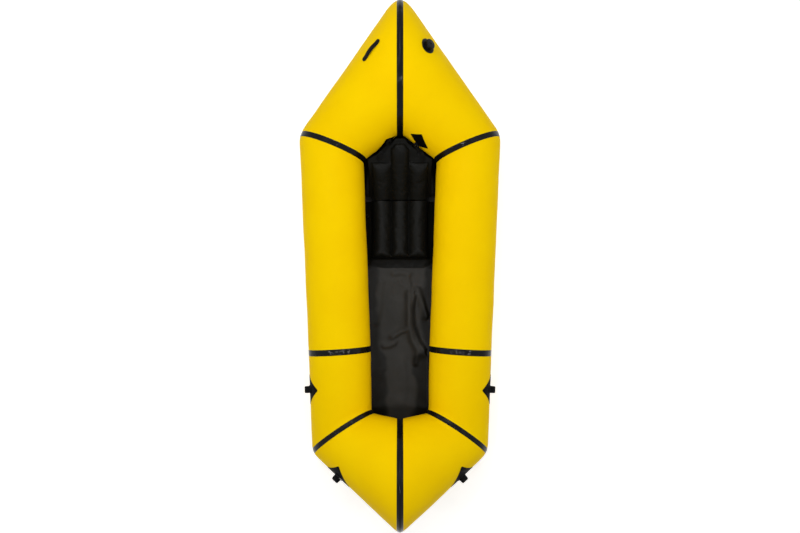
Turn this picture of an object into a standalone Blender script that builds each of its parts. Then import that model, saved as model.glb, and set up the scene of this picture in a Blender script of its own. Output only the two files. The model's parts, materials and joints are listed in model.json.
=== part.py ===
"""One-person packraft: eight mitred tube panels round a flat floor, with seat, backrest and valves.

Metres, +Z up. +Y points to the stern, and +X to the side that is on the right from above, stern up.
The origin lies under the middle of the boat, on the ground that its flat floor rests on.
"""

import math
from collections import namedtuple

import bmesh
import bpy
from mathutils import Matrix, Vector

# Clearance between pieces that touch, and how far a cutter runs past what it cuts
FIT = 0.0003
OVERRUN = 0.004

# Air tube: for each seam, its half breadth, place along the boat, rise of the underside and tube radius
STERN_TIP_Y = 0.7615
STERN_TIP_RISE = 0.0208
STERN_TIP_RADIUS = 0.1880
STERN_CORNER_X = 0.2840
STERN_CORNER_Y = 0.4935
STERN_CORNER_RADIUS = 0.1300
MID_X = 0.2496
MID_Y = -0.3625
MID_RADIUS = 0.1280
BOW_CORNER_X = 0.2406
BOW_CORNER_Y = -0.7213
BOW_CORNER_RISE = 0.0029
BOW_CORNER_RADIUS = 0.1242
BOW_TIP_Y = -0.8157
BOW_TIP_RISE = 0.0449
BOW_TIP_RADIUS = 0.1863
STERN_TIP_ROUND = 0.0540
BOW_TIP_ROUND = 0.0320
TUBE_WALL = 0.0005
RING_STEPS = 32

# Seam tape over every joint of the tube, and the floor sheet under it
TAPE_WIDTH = 0.0248
TAPE_WALL = 0.0003
FLOOR_WALL = 0.0008
FLOOR_WRAP_STEPS = 3

# Tie-down patches outside the bow half: half diagonals, skew of the upper corner, wall
PATCH_HALF_LENGTH = 0.0630
PATCH_HALF_BREADTH = 0.0850
SIDE_PATCH_SKEW = 0.0080
BOW_PATCH_SKEW = -0.0080
PATCH_WALL = 0.0008
SIDE_PATCH_ANGLE = math.radians(11)
BOW_PATCH_ANGLE = math.radians(29.5)
SIDE_PATCH_ALONG = 0.1500
BOW_PATCH_ALONG = 0.0730

# Webbing loop on each tie-down patch
LOOP_WIDTH = 0.0250
LOOP_WEBBING = 0.0015
LOOP_FOOT = 0.0160
LOOP_HEIGHT = 0.0190
LOOP_SPAN = 0.0220

# Lash strap on the stern's left tube
LASH_ALONG = 0.0160
LASH_ANGLE = math.radians(53.5)
LASH_LENGTH = 0.1000
LASH_WIDTH = 0.0180
LASH_WEBBING = 0.0022
LASH_FOOT = 0.0180
LASH_ARCH = 0.0120

# Main valve, on the stern's right tube; heights are along its axis from the tube's skin
VALVE_ALONG = 0.0020
VALVE_ANGLE = math.radians(50)
BOOT_RADIUS = 0.0305
BOOT_WALL = 0.0012
COLLAR_RADIUS = 0.0192
COLLAR_BORE = 0.0168
COLLAR_TOP = 0.0060
COLLAR_DEPTH = 0.0070
BODY_BORE = 0.0135
BODY_FLANGE = 0.0020
BODY_DEPTH = 0.0200
NECK_RADIUS = 0.0140
NECK_HEIGHT = 0.0052
LUG_REACH = 0.0018
LUG_HEIGHT = 0.0018
LUG_HALF_ANGLE = math.radians(17)
SEAT_LIP = 0.0022
HUB_RADIUS = 0.0046
HUB_HEIGHT = 0.0060
SPOKE_WIDTH = 0.0024
SPOKES = 3
CAP_WALL = 0.0020
CAP_RADIUS = 0.0204
CAP_CHAMFER = 0.0018
GRIP_FLUTES = 12
GRIP_FLUTE_RADIUS = 0.0022
GRIP_FLUTE_DEPTH = 0.0009
POST_RADIUS = 0.0030
POST_HEAD_RADIUS = 0.0048
POST_HEAD_HEIGHT = 0.0016
GASKET_RADIUS = 0.0009
GASKET_STEPS = 8
BUTTON_RADIUS = 0.0088
BUTTON_HEIGHT = 0.0022
STEM_RADIUS = 0.0023
POPPET_HEIGHT = 0.0018
SPRING_RADIUS = 0.0054
SPRING_WIRE = 0.0004
SPRING_TURNS = 4.5
SPRING_TURN_POINTS = 10
TETHER_WALL = 0.0014
TETHER_WIDTH = 0.0090
TETHER_RING_HEIGHT = 0.0020
TETHER_RING_WALL = 0.0020
TETHER_BULGE = 0.0045

# Seat cushion: three channels over a flat underside, with a flat flange at its sides and front
SEAT_REAR_Y = 0.2695
SEAT_CHANNEL_LENGTH = 0.2480
SEAT_FRONT_FLANGE = 0.0400
SEAT_CREST = 0.0600
SEAT_HALF_BREADTH = 0.1150
SEAT_FLANGE = 0.0420
SEAT_NOSE = 0.0420
SEAT_WELD_NOSE = 0.0100
SEAT_HEEL = 0.0080
SEAT_DRAW_IN = 0.0050
VALLEY_X = SEAT_HALF_BREADTH / 3
PAD_SKIN = 0.0012
SEAT_VALLEY_SHARE = 0.60
BACKREST_VALLEY_SHARE = 0.30

# Backrest: the same channels front and back of a thin flange, with a pointed top
BACKREST_LEAN = math.radians(34)
BACKREST_DEPTH = 0.0450
BACKREST_HEEL = 0.0120
BACKREST_SIDE_CHANNEL = 0.1665
BACKREST_SHOULDER = 0.1790
BACKREST_TOP = 0.2710
BACKREST_TOP_HALF_BREADTH = 0.0200
BACKREST_TOP_FLANGE = 0.0200
SHOULDER_CURVE = 0.7
BACKREST_FLANGE = 0.0180
BACKREST_NOSE = 0.0300
BACKREST_WELD_NOSE = 0.0120
BACKREST_DRAW_IN = 0.0030
HINGE_GAP = 0.0006
HINGE_STRIP_WALL = 0.0008
HINGE_STRIP_GRIP = 0.0160
HINGE_STRIP_DROP = 0.0300
HINGE_STRIP_HALF_WIDTH = 0.0900

# Backrest straps: anchor patch on the tube, ring, webbing, and a ladder lock on a tab of the backrest
STRAP_WIDTH = 0.0150
STRAP_WEBBING = 0.0013
ANCHOR_HALF_LENGTH = 0.0470
ANCHOR_HALF_BREADTH = 0.0430
ANCHOR_SKEW = 0.0150
ANCHOR_TURN = 0.0030
RIGHT_ANCHOR_ALONG = 0.2342
RIGHT_ANCHOR_ANGLE = math.radians(157)
RIGHT_KEEPER_ALONG = 0.2342
RIGHT_KEEPER_ANGLE = math.radians(167)
LEFT_ANCHOR_ALONG = 0.2280
LEFT_ANCHOR_ANGLE = math.radians(178)
LEFT_KEEPER_ALONG = 0.2080
LEFT_KEEPER_ANGLE = math.radians(168)
RIGHT_TAB_SHARE = 0.748
RIGHT_TAB_PLACE = 0.2030
LEFT_TAB_SHARE = -0.661
LEFT_TAB_PLACE = 0.2040
RING_WIRE = 0.0020
RING_LENGTH = 0.0205
RING_REACH = 0.0150
KEEPER_REACH = 0.0090
LOCK_WALL = 0.0028
LOCK_BAR = 0.0032
LOCK_SLOT = 0.0052
LOCK_SIDE = 0.0040
TAB_LENGTH = 0.0240
TAIL_LENGTH = 0.0180

# Twist valves of the seat and the backrest
TWIST_FLANGE_RADIUS = 0.0120
TWIST_NECK_RADIUS = 0.0062
TWIST_NECK_HEIGHT = 0.0080
TWIST_NOZZLE_RADIUS = 0.0078
TWIST_NOZZLE_HEIGHT = 0.0170
TWIST_BORE = 0.0030
TWIST_SKIRT = 0.0050
SEAT_VALVE_FLANGE_SHARE = 0.6
SEAT_VALVE_BACK = 0.0600
BACKREST_VALVE_SHARE = 0.67
BACKREST_VALVE_PLACE = 0.1000

TURN_STEPS = 32
SMALL_TURN_STEPS = 20

Station = namedtuple("Station", "centre radius")
Plane = namedtuple("Plane", "point normal")
UP = Vector((0, 0, 1))
ACROSS = Vector((1, 0, 0))

# What lies between the tube's skin and the ground
FLOOR_LIFT = FIT + TAPE_WALL + FIT
TUBE_GROUND = FLOOR_LIFT + FLOOR_WALL


def clear_scene():
    for obj in list(bpy.data.objects):
        bpy.data.objects.remove(obj, do_unlink=True)


def material(name, colour, roughness, metallic=0.0):
    made = bpy.data.materials.new(name)
    made.use_nodes = True
    shader = made.node_tree.nodes["Principled BSDF"]
    shader.inputs["Base Color"].default_value = (*colour, 1.0)
    shader.inputs["Roughness"].default_value = roughness
    shader.inputs["Metallic"].default_value = metallic
    made.diffuse_color = (*colour, 1.0)
    return made


def object_of(bm, name, look, parent=None, frame=None):
    """Turns a closed bmesh into a named object, faces outward, at its frame."""
    bmesh.ops.recalc_face_normals(bm, faces=bm.faces)
    mesh = bpy.data.meshes.new(name)
    bm.to_mesh(mesh)
    bm.free()
    mesh.materials.append(look)
    mesh.shade_smooth()
    mesh.set_sharp_from_angle(angle=math.radians(35))
    obj = bpy.data.objects.new(name, mesh)
    bpy.context.collection.objects.link(obj)
    obj.parent = parent
    obj.matrix_basis = frame or Matrix.Identity(4)
    return obj


def guide(obj):
    """Keeps a cutter out of the model itself."""
    obj.hide_render = True
    obj.display_type = "WIRE"
    return obj


def combine(obj, other, operation):
    step = obj.modifiers.new(operation.title(), "BOOLEAN")
    step.operation = operation
    step.object = guide(other)


def empty(name, frame):
    made = bpy.data.objects.new(name, None)
    bpy.context.collection.objects.link(made)
    made.matrix_basis = frame
    return made


def frame_of(origin, x_axis, z_axis):
    """A right-handed frame with this X axis and a Z axis as near to the given one as it allows."""
    x_axis = x_axis.normalized()
    y_axis = z_axis.cross(x_axis).normalized()
    z_axis = x_axis.cross(y_axis)
    frame = Matrix((x_axis, y_axis, z_axis)).transposed().to_4x4()
    frame.translation = origin
    return frame


def join_loops(bm, loops, closed_stack=False):
    """Faces between successive loops of corners. A loop of one corner closes to a point."""
    pairs = list(zip(loops, loops[1:]))
    if closed_stack:
        pairs.append((loops[-1], loops[0]))
    for first, second in pairs:
        steps = max(len(first), len(second))
        if steps == 1:
            continue
        for i in range(steps):
            corners = (
                first[i % len(first)],
                first[(i + 1) % len(first)],
                second[(i + 1) % len(second)],
                second[i % len(second)],
            )
            bm.faces.new(dict.fromkeys(corners))


def turned(name, profile, look, steps=TURN_STEPS, parent=None, frame=None):
    """A revolved solid about its own Z, from a closed profile of (radius, height) points."""
    bm = bmesh.new()
    loops = []
    for radius, height in profile:
        turns = [math.tau * i / steps for i in range(steps)] if radius else [0]
        loops.append(
            [bm.verts.new((radius * math.cos(a), radius * math.sin(a), height)) for a in turns]
        )
    join_loops(bm, loops, closed_stack=True)
    return object_of(bm, name, look, parent, frame)


def ribbon(name, path, widths, thickness, look, parent=None, frame=None, twists=None):
    """Webbing: its path lies in the frame's XZ plane and its width along Y.

    Each twist turns its point of the path, and the width there, about the frame's X.
    """
    bm = bmesh.new()
    last = len(path) - 1
    rows = []
    for k, (x, z) in enumerate(path):
        run = Vector(path[min(k + 1, last)]) - Vector(path[max(k - 1, 0)])
        lift = Vector((-run.y, run.x)).normalized() * thickness / 2
        half = widths[k] / 2
        top, bottom = (x + lift.x, z + lift.y), (x - lift.x, z - lift.y)
        corners = ((top, half), (top, -half), (bottom, -half), (bottom, half))
        turn = Matrix.Rotation(twists[k] if twists else 0, 3, "X")
        rows.append([bm.verts.new(turn @ Vector((p[0], y, p[1]))) for p, y in corners])
    join_loops(bm, rows)
    bm.faces.new(rows[0])
    bm.faces.new(rows[-1])
    return object_of(bm, name, look, parent, frame)


def wire(name, points, radius, steps, look, parent=None, frame=None, closed=False):
    """A round wire through points, each section square to its run and level with the frame's Z."""
    bm = bmesh.new()
    last = len(points) - 1
    loops = []
    for i, point in enumerate(points):
        before = points[i - 1] if closed or i else point
        after = points[(i + 1) % len(points)] if closed or i < last else point
        out = (after - before).cross(UP).normalized()
        rise = out.cross(after - before).normalized()
        turns = [math.tau * k / steps for k in range(steps)]
        loops.append(
            [bm.verts.new(point + (out * math.cos(a) + rise * math.sin(a)) * radius) for a in turns]
        )
    join_loops(bm, loops, closed_stack=closed)
    if not closed:
        bm.faces.new(loops[0])
        bm.faces.new(loops[-1])
    return object_of(bm, name, look, parent, frame)


def arc(x, z, radius, start, end, steps):
    """Points of an arc in a path's plane, with its angles in degrees from the path's X."""
    angles = [math.radians(start + (end - start) * i / steps) for i in range(steps + 1)]
    return [(x + radius * math.cos(a), z + radius * math.sin(a)) for a in angles]


def prism(name, outline, low, high, frame, look):
    """An outline in the frame's XY plane, extruded along its Z. Used as a cutter."""
    bm = bmesh.new()
    loops = [[bm.verts.new((x, y, z)) for x, y in outline] for z in (low, high)]
    join_loops(bm, loops)
    bm.faces.new(loops[0])
    bm.faces.new(loops[1])
    return object_of(bm, name, look, frame=frame)


class Leg:
    """One straight, tapering length of the air tube on the boat's +X side, between two seams."""

    def __init__(self, start, end):
        self.start = start
        run = end.centre - start.centre
        self.axis = run.normalized()
        self.taper = (end.radius - start.radius) / run.length
        self.cosine = math.sqrt(1 - self.taper**2)
        self.side = UP.cross(self.axis).normalized()
        self.up = self.axis.cross(self.side)

    def spoke(self, angle):
        """Direction from the centre line at this angle: 0 is outboard and a right angle is up."""
        return self.side * math.cos(angle) + self.up * math.sin(angle)

    def line(self, angle, lift=0.0):
        """The straight line on the skin at this angle, as a point and a direction."""
        spoke = self.spoke(angle)
        start = self.start.centre + spoke * ((self.start.radius + lift) / self.cosine)
        return start, self.axis + spoke * (self.taper / self.cosine)

    def meet(self, angle, plane, lift=0.0):
        """Where that line meets a plane."""
        start, run = self.line(angle, lift)
        reach = (plane.point - start).dot(plane.normal) / run.dot(plane.normal)
        return start + run * reach

    def surface_frame(self, along, angle, side):
        """A frame on the skin: X runs along the tube to the bow, Z stands off the skin."""
        start, run = self.line(angle)
        normal = self.spoke(angle) * self.cosine - self.axis * self.taper
        flip = Vector((side, 1, 1))
        return frame_of((start + run * along) * flip, run * flip, normal * flip)


def tube_station(x, y, rise, radius):
    return Station(Vector((x, y, TUBE_GROUND + rise + radius)), radius)


STATIONS = (
    tube_station(0, STERN_TIP_Y, STERN_TIP_RISE, STERN_TIP_RADIUS),
    tube_station(STERN_CORNER_X, STERN_CORNER_Y, 0, STERN_CORNER_RADIUS),
    tube_station(MID_X, MID_Y, 0, MID_RADIUS),
    tube_station(BOW_CORNER_X, BOW_CORNER_Y, BOW_CORNER_RISE, BOW_CORNER_RADIUS),
    tube_station(0, BOW_TIP_Y, BOW_TIP_RISE, BOW_TIP_RADIUS),
)
LEGS = [Leg(start, end) for start, end in zip(STATIONS, STATIONS[1:])]
STERN_LEG, SIDE_LEG, BOW_SIDE_LEG, BOW_LEG = range(len(LEGS))


def seam_plane(before, after):
    """The plane in which two neighbouring cones meet, both of them round the same ball."""
    station = after.start
    normal = before.axis / before.cosine + after.axis / after.cosine
    shift = station.radius * (before.taper / before.cosine + after.taper / after.cosine)
    return Plane(station.centre - normal * (shift / normal.length_squared), normal.normalized())


SEAMS = (
    [Plane(Vector((0, 0, 0)), ACROSS)]
    + [seam_plane(before, after) for before, after in zip(LEGS, LEGS[1:])]
    + [Plane(Vector((0, 0, 0)), -ACROSS)]
)


def carried_angles():
    """The skin lines' angles on every leg, carried over each seam so that facets meet there."""
    rows = [[math.tau * i / RING_STEPS for i in range(RING_STEPS)]]
    for k in range(1, len(LEGS)):
        row = []
        for angle in rows[-1]:
            spoke = LEGS[k - 1].meet(angle, SEAMS[k]) - LEGS[k].start.centre
            row.append(math.atan2(spoke.dot(LEGS[k].up), spoke.dot(LEGS[k].side)))
        rows.append(row)
    return rows


ANGLES = carried_angles()


def shifted(plane, distance):
    return Plane(plane.point + plane.normal * distance, plane.normal)


def tip_planes(k):
    """Planes across an end leg, near the boat's tip, that carry its rounding."""
    reach = {STERN_LEG: STERN_TIP_ROUND, BOW_LEG: BOW_TIP_ROUND}.get(k)
    if not reach:
        return []
    half_tape = TAPE_WIDTH / 2
    normal = ACROSS if k == STERN_LEG else -ACROSS
    planes = [Plane(ACROSS * x, normal) for x in (half_tape, (half_tape + reach) / 2, reach)]
    return planes if k == STERN_LEG else planes[::-1]


def blunted(point, k, angle):
    """Draws the outboard half of an end leg in toward the cockpit, so that the tip is round."""
    reach = {STERN_LEG: STERN_TIP_ROUND, BOW_LEG: BOW_TIP_ROUND}.get(k)
    if not reach or abs(point.x) >= reach:
        return point
    run = LEGS[k].line(0)[1]
    depth = abs(run.y / run.x) * reach / 2
    pull = depth * (1 - abs(point.x) / reach) ** 2 * max(0, math.cos(angle))
    return point - Vector((0, math.copysign(pull, point.y), 0))


def skin_ring(k, plane, lift, side):
    """The corners where a leg's skin lines, lifted off it, meet a plane."""
    flip = Vector((side, 1, 1))
    return [blunted(LEGS[k].meet(a, plane, lift), k, a) * flip for a in ANGLES[k]]


def leg_planes(k, gap):
    """Every plane that cuts a leg into its facets, with a gap at each seam."""
    first, last = shifted(SEAMS[k], gap), shifted(SEAMS[k + 1], -gap)
    return [first] + tip_planes(k) + [last]


def skin_faces(bm, first, second):
    """Triangles between two rings, split alike in every layer so that warped facets stay parallel."""
    for i in range(len(first)):
        after = (i + 1) % len(first)
        bm.faces.new((first[i], first[after], second[after]))
        bm.faces.new((first[i], second[after], second[i]))


def sleeve(name, outer, inner, look, pairs=None):
    """The wall between two stacks of rings, closed at both ends."""
    bm = bmesh.new()
    stacks = [[[bm.verts.new(p) for p in ring] for ring in stack] for stack in (outer, inner)]
    pairs = pairs or [(k, k + 1) for k in range(len(outer) - 1)]
    for stack in stacks:
        for first, second in pairs:
            skin_faces(bm, stack[first], stack[second])
    for end in (0, -1):
        join_loops(bm, [stack[end] for stack in stacks])
    return object_of(bm, name, look)


def leg_sleeve(name, k, side, low, high, look):
    planes = leg_planes(k, FIT / 2)
    outer = [skin_ring(k, plane, high, side) for plane in planes]
    inner = [skin_ring(k, plane, low, side) for plane in planes]
    return sleeve(name, outer, inner, look)


def leg_core(name, k, side, lift, look):
    """A leg's full body out to a lift off its skin. Used as a cutter."""
    bm = bmesh.new()
    rings = [[bm.verts.new(p) for p in skin_ring(k, plane, lift, side)] for plane in leg_planes(k, 0)]
    for first, second in zip(rings, rings[1:]):
        skin_faces(bm, first, second)
    bm.faces.new(rings[0])
    bm.faces.new(rings[-1])
    return object_of(bm, name, look)


def sides(name):
    return ((name + "_left", -1), (name + "_right", 1))


def tube_panels(look):
    names = ("stern_tube", "side_tube", "bow_side_tube", "bow_tube")
    return {
        full: leg_sleeve(full, k, side, -TUBE_WALL, 0, look)
        for k, name in enumerate(names)
        for full, side in sides(name)
    }


def tape_rings(k, side, lift):
    """Rings of a corner tape: along the leg before the seam, at the seam, along the leg after."""
    flip = Vector((side, 1, 1))
    seam = SEAMS[k]
    rows = [[], [], []]
    for before, after in zip(ANGLES[k - 1], ANGLES[k]):
        start = LEGS[k - 1].meet(before, seam, lift)
        back = LEGS[k - 1].line(before)[1].normalized() * TAPE_WIDTH / 2
        ahead = LEGS[k].line(after)[1].normalized() * TAPE_WIDTH / 2
        for row, point in zip(rows, (start - back, start, start + ahead)):
            row.append(point * flip)
    return rows


def seam_tapes(look):
    low, high = FIT, FIT + TAPE_WALL
    for k, name in enumerate(("stern_corner_tape", "mid_tape", "bow_corner_tape"), start=1):
        for full, side in sides(name):
            sleeve(full, tape_rings(k, side, high), tape_rings(k, side, low), look)
    for k, name in ((STERN_LEG, "stern_centre_tape"), (BOW_LEG, "bow_centre_tape")):
        normal = ACROSS if k == STERN_LEG else -ACROSS
        edge, middle = (Plane(ACROSS * x, normal) for x in (TAPE_WIDTH / 2, 0))
        stacks = [
            [skin_ring(k, edge, lift, -1), skin_ring(k, middle, lift, 1), skin_ring(k, edge, lift, 1)]
            for lift in (high, low)
        ]
        pairs = ((1, 0), (1, 2)) if k == STERN_LEG else ((0, 1), (2, 1))
        sleeve(name, *stacks, look, pairs)


def floor_rows(lift, side):
    """Half the floor's rows, stern to bow: from outboard, round the tube's keel, to the middle."""
    keel = RING_STEPS * 3 // 4
    flip = Vector((side, 1, 1))
    rows = []
    for k, leg in enumerate(LEGS):
        planes = [SEAMS[k]] + tip_planes(k) + ([SEAMS[k + 1]] if k == BOW_LEG else [])
        for plane in planes:
            row = []
            for i in range(keel + FLOOR_WRAP_STEPS, keel - 1, -1):
                angle = ANGLES[k][i % RING_STEPS]
                row.append(blunted(leg.meet(angle, plane, lift), k, angle) * flip)
            rows.append(row + [row[-1] * Vector((0, 1, 1))])
    return rows


def floor_sheet(look):
    """One sheet that spans the ring underneath and turns up round each tube's keel."""
    bm = bmesh.new()
    for side in (-1, 1):
        upper, lower = (
            [[bm.verts.new(p) for p in row] for row in floor_rows(lift, side)]
            for lift in (FLOOR_LIFT, TUBE_GROUND)
        )
        for grid in (upper, lower):
            for first, second in zip(grid, grid[1:]):
                for i in range(len(first) - 1):
                    bm.faces.new((first[i], first[i + 1], second[i]))
                    bm.faces.new((first[i + 1], second[i + 1], second[i]))
        for k in range(len(upper) - 1):
            bm.faces.new((upper[k][0], upper[k + 1][0], lower[k + 1][0], lower[k][0]))
    bmesh.ops.remove_doubles(bm, verts=bm.verts, dist=FIT / 10)
    return object_of(bm, "floor_sheet", look)


def skewed_outline(half_length, half_breadth, skew, turn, radius):
    """A parallelogram's corners, its breadth laid round a tube of this radius."""
    breadth = radius * math.sin(half_breadth / radius)
    return ((-half_length, turn), (-skew, breadth), (half_length, -turn), (skew, -breadth))


def patch(name, k, side, along, angle, outline, look):
    """A welded patch that follows the tube's skin."""
    obj = leg_sleeve(name, k, side, FIT, FIT + PATCH_WALL, look)
    frame = LEGS[k].surface_frame(along, angle, side)
    reach = max(abs(value) for corner in outline for value in corner)
    combine(obj, prism(name + "_outline", outline, -reach, reach, frame, look), "INTERSECT")
    return frame


def leg_radius(k, along):
    leg = LEGS[k]
    return (leg.start.radius + leg.taper * along) / leg.cosine


def tie_downs(patch_look, loop_look):
    for name, k, along, angle, skew in (
        ("side_tie_down", BOW_SIDE_LEG, SIDE_PATCH_ALONG, SIDE_PATCH_ANGLE, SIDE_PATCH_SKEW),
        ("bow_tie_down", BOW_LEG, BOW_PATCH_ALONG, BOW_PATCH_ANGLE, BOW_PATCH_SKEW),
    ):
        radius = leg_radius(k, along)
        for side_name, side in (("left", -1), ("right", 1)):
            outline = skewed_outline(PATCH_HALF_LENGTH, PATCH_HALF_BREADTH, skew, 0, radius)
            outline = [(x, side * y) for x, y in outline]
            frame = patch(f"{name}_patch_{side_name}", k, side, along, angle, outline, patch_look)
            tie_loop(f"{name}_loop_{side_name}", frame, radius, loop_look)


def tie_loop(name, frame, radius, look):
    """An arch of webbing that stands off its patch, open along the tube."""
    lift = FIT + PATCH_WALL + FIT + LOOP_WEBBING / 2
    foot_steps = 3
    half_span = LOOP_SPAN / 2
    bend = LOOP_WEBBING
    foot = [half_span + bend + LOOP_FOOT * (1 - i / foot_steps) for i in range(foot_steps + 1)]
    left = [(-x, math.sqrt((radius + lift) ** 2 - x**2) - radius) for x in foot]
    crown_radius = half_span
    crown_height = lift + LOOP_HEIGHT - crown_radius
    crown = arc(0, crown_height, crown_radius, 180, 0, 8)
    path = left + crown + [(-x, z) for x, z in left[::-1]]
    turn = Matrix.Rotation(math.radians(90), 4, "Z")
    ribbon(name, path, [LOOP_WIDTH] * len(path), LOOP_WEBBING, look, frame=frame @ turn)


def lash_strap(look):
    """A strap welded down at both round ends, with a low arch between them."""
    frame = LEGS[STERN_LEG].surface_frame(LASH_ALONG, LASH_ANGLE, -1)
    lift = FIT + LASH_WEBBING / 2
    half = LASH_LENGTH / 2
    round_end = LASH_WIDTH / 2
    end_shares = (0.06, 0.3, 0.65, 1.0)
    end = [(-half + round_end * share, lift) for share in end_shares]
    widths = [LASH_WIDTH * math.sqrt(1 - (1 - share) ** 2) for share in end_shares]
    arch_half = half - LASH_FOOT
    arch_steps = 10
    arch = []
    for i in range(arch_steps + 1):
        x = -arch_half + 2 * arch_half * i / arch_steps
        rise = LASH_ARCH * math.sin(math.pi * i / arch_steps) ** 0.8
        arch.append((x, lift + rise))
    path = end + arch + [(-x, z) for x, z in end[::-1]]
    widths = widths + [LASH_WIDTH] * len(arch) + widths[::-1]
    ribbon("stern_lash_strap", path, widths, LASH_WEBBING, look, frame=frame)


def pad_columns(edge, flange):
    """Places across a pad: both flanges, and six steps over each of its three channels."""
    spans = ((-edge, -VALLEY_X), (-VALLEY_X, VALLEY_X), (VALLEY_X, edge))
    places = [-edge - flange]
    for low, high in spans:
        middle, half = (low + high) / 2, (high - low) / 2
        steps = 6
        places += [middle - half * math.cos(math.pi * i / steps) for i in range(steps)]
    return places + [edge, edge + flange]


def channel_share(x, edge, valley_share):
    """Height of the channels across a pad, from 0 at its edge to 1 at each crest."""
    x = abs(x)
    if x >= edge:
        return 0.0
    middle, half = (0, VALLEY_X) if x <= VALLEY_X else ((VALLEY_X + edge) / 2, (edge - VALLEY_X) / 2)
    bulge = math.sqrt(max(0, 1 - ((x - middle) / half) ** 2))
    floor = 0.0 if x > middle > 0 else valley_share
    return floor + (1 - floor) * bulge


def end_share(distance, length):
    """Quarter ellipse that brings a channel's end down to its flange."""
    return math.sqrt(max(0, 1 - (1 - min(distance / length, 1)) ** 2))


ROW_SHARES = (0, 0.012, 0.05, 0.14, 0.35, 0.6, 0.76, 0.86, 0.93, 0.98, 1)
NOSE_ROW_SHARES = (0.3, 0.55, 0.75, 0.9, 0.98, 1)


def pad(name, edge, flange, length, rows, thickness, draw_in, look, parent, frame):
    """An inflated pad: a grid of channels over a flange, closed by its underside.

    rows gives the places of a column's points along the pad, and thickness the heights of its
    upper and lower face over the pad's own Z = 0. The sides are drawn in along the length.
    """
    bm = bmesh.new()
    faces = ([], [])
    for x in pad_columns(edge, flange):
        places = rows(x)
        for grid, level in zip(faces, (1, -1)):
            column = []
            for y in places:
                waist = math.sin(math.pi * min(y / length, 1)) * draw_in * x / (edge + flange)
                column.append(bm.verts.new((x - waist, y, thickness(x, y, level))))
            grid.append(column)
    for grid in faces:
        for first, second in zip(grid, grid[1:]):
            for i in range(len(first) - 1):
                bm.faces.new((first[i], first[i + 1], second[i + 1], second[i]))
    upper, lower = faces
    rims = [
        (upper[0], lower[0]),
        (upper[-1], lower[-1]),
        ([c[0] for c in upper], [c[0] for c in lower]),
        ([c[-1] for c in upper], [c[-1] for c in lower]),
    ]
    for top, bottom in rims:
        for i in range(len(top) - 1):
            bm.faces.new((top[i], top[i + 1], bottom[i + 1], bottom[i]))
    return object_of(bm, name, look, parent, frame)


def seat_cushion(look):
    """Flat on the floor, its channels run forward from the hinge and end in round noses."""

    def rows(x):
        channel = [SEAT_CHANNEL_LENGTH * share for share in ROW_SHARES]
        return channel + [SEAT_CHANNEL_LENGTH + SEAT_FRONT_FLANGE]

    def thickness(x, y, level):
        if level < 0:
            return 0.0
        share = channel_share(x, SEAT_HALF_BREADTH, SEAT_VALLEY_SHARE)
        valley = (share - SEAT_VALLEY_SHARE) / (1 - SEAT_VALLEY_SHARE)
        nose = SEAT_WELD_NOSE + (SEAT_NOSE - SEAT_WELD_NOSE) * max(0, valley)
        ends = end_share(y, SEAT_HEEL) * end_share(max(0, SEAT_CHANNEL_LENGTH - y), nose)
        return PAD_SKIN + (SEAT_CREST - PAD_SKIN) * share * ends

    place = Vector((0, SEAT_REAR_Y, FLOOR_WALL + FIT))
    frame = frame_of(place, -ACROSS, UP)
    return pad(
        "seat_cushion",
        SEAT_HALF_BREADTH,
        SEAT_FLANGE,
        SEAT_CHANNEL_LENGTH,
        rows,
        thickness,
        SEAT_DRAW_IN,
        look,
        None,
        frame,
    )


def hinge_frame():
    """The backrest's fold: X across the boat, Y up the backrest, Z out of its front."""
    crest = FLOOR_WALL + FIT + SEAT_CREST
    up_backrest = Vector((0, math.cos(BACKREST_LEAN), math.sin(BACKREST_LEAN)))
    return frame_of(Vector((0, SEAT_REAR_Y + HINGE_GAP, crest)), ACROSS, ACROSS.cross(up_backrest))


def backrest_outline_end(x):
    """Top of the backrest over a place across it: level in the middle, then down to the shoulders."""
    edge = SEAT_HALF_BREADTH + BACKREST_FLANGE
    fall = max(0, abs(x) - BACKREST_TOP_HALF_BREADTH) / (edge - BACKREST_TOP_HALF_BREADTH)
    return BACKREST_TOP - (BACKREST_TOP - BACKREST_SHOULDER) * fall**SHOULDER_CURVE


def backrest_cushion(look, hinge):
    """Channels on both faces of a flange that lies half the depth behind the fold."""

    def channel_end(x):
        return backrest_outline_end(x) - BACKREST_TOP_FLANGE if abs(x) < VALLEY_X else BACKREST_SIDE_CHANNEL

    def rows(x):
        end = backrest_outline_end(x)
        rest = max(end - BACKREST_TOP_FLANGE, (BACKREST_SIDE_CHANNEL + end) / 2) - BACKREST_SIDE_CHANNEL
        lower = [BACKREST_SIDE_CHANNEL * share for share in ROW_SHARES]
        return lower + [BACKREST_SIDE_CHANNEL + rest * share for share in NOSE_ROW_SHARES] + [end]

    def thickness(x, y, level):
        share = channel_share(x, SEAT_HALF_BREADTH, BACKREST_VALLEY_SHARE)
        valley = max(0, (share - BACKREST_VALLEY_SHARE) / (1 - BACKREST_VALLEY_SHARE))
        nose = BACKREST_WELD_NOSE + (BACKREST_NOSE - BACKREST_WELD_NOSE) * valley
        rest = max(0, channel_end(x) - y)
        ends = end_share(y, BACKREST_HEEL) * end_share(rest, nose)
        bulge = (BACKREST_DEPTH - PAD_SKIN) / 2 * share * ends
        return level * (PAD_SKIN / 2 + bulge)

    frame = Matrix.Translation((0, HINGE_GAP, -BACKREST_DEPTH / 2))
    return pad(
        "backrest_cushion",
        SEAT_HALF_BREADTH,
        BACKREST_FLANGE,
        BACKREST_SIDE_CHANNEL,
        rows,
        thickness,
        BACKREST_DRAW_IN,
        look,
        hinge,
        frame,
    )


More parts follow.
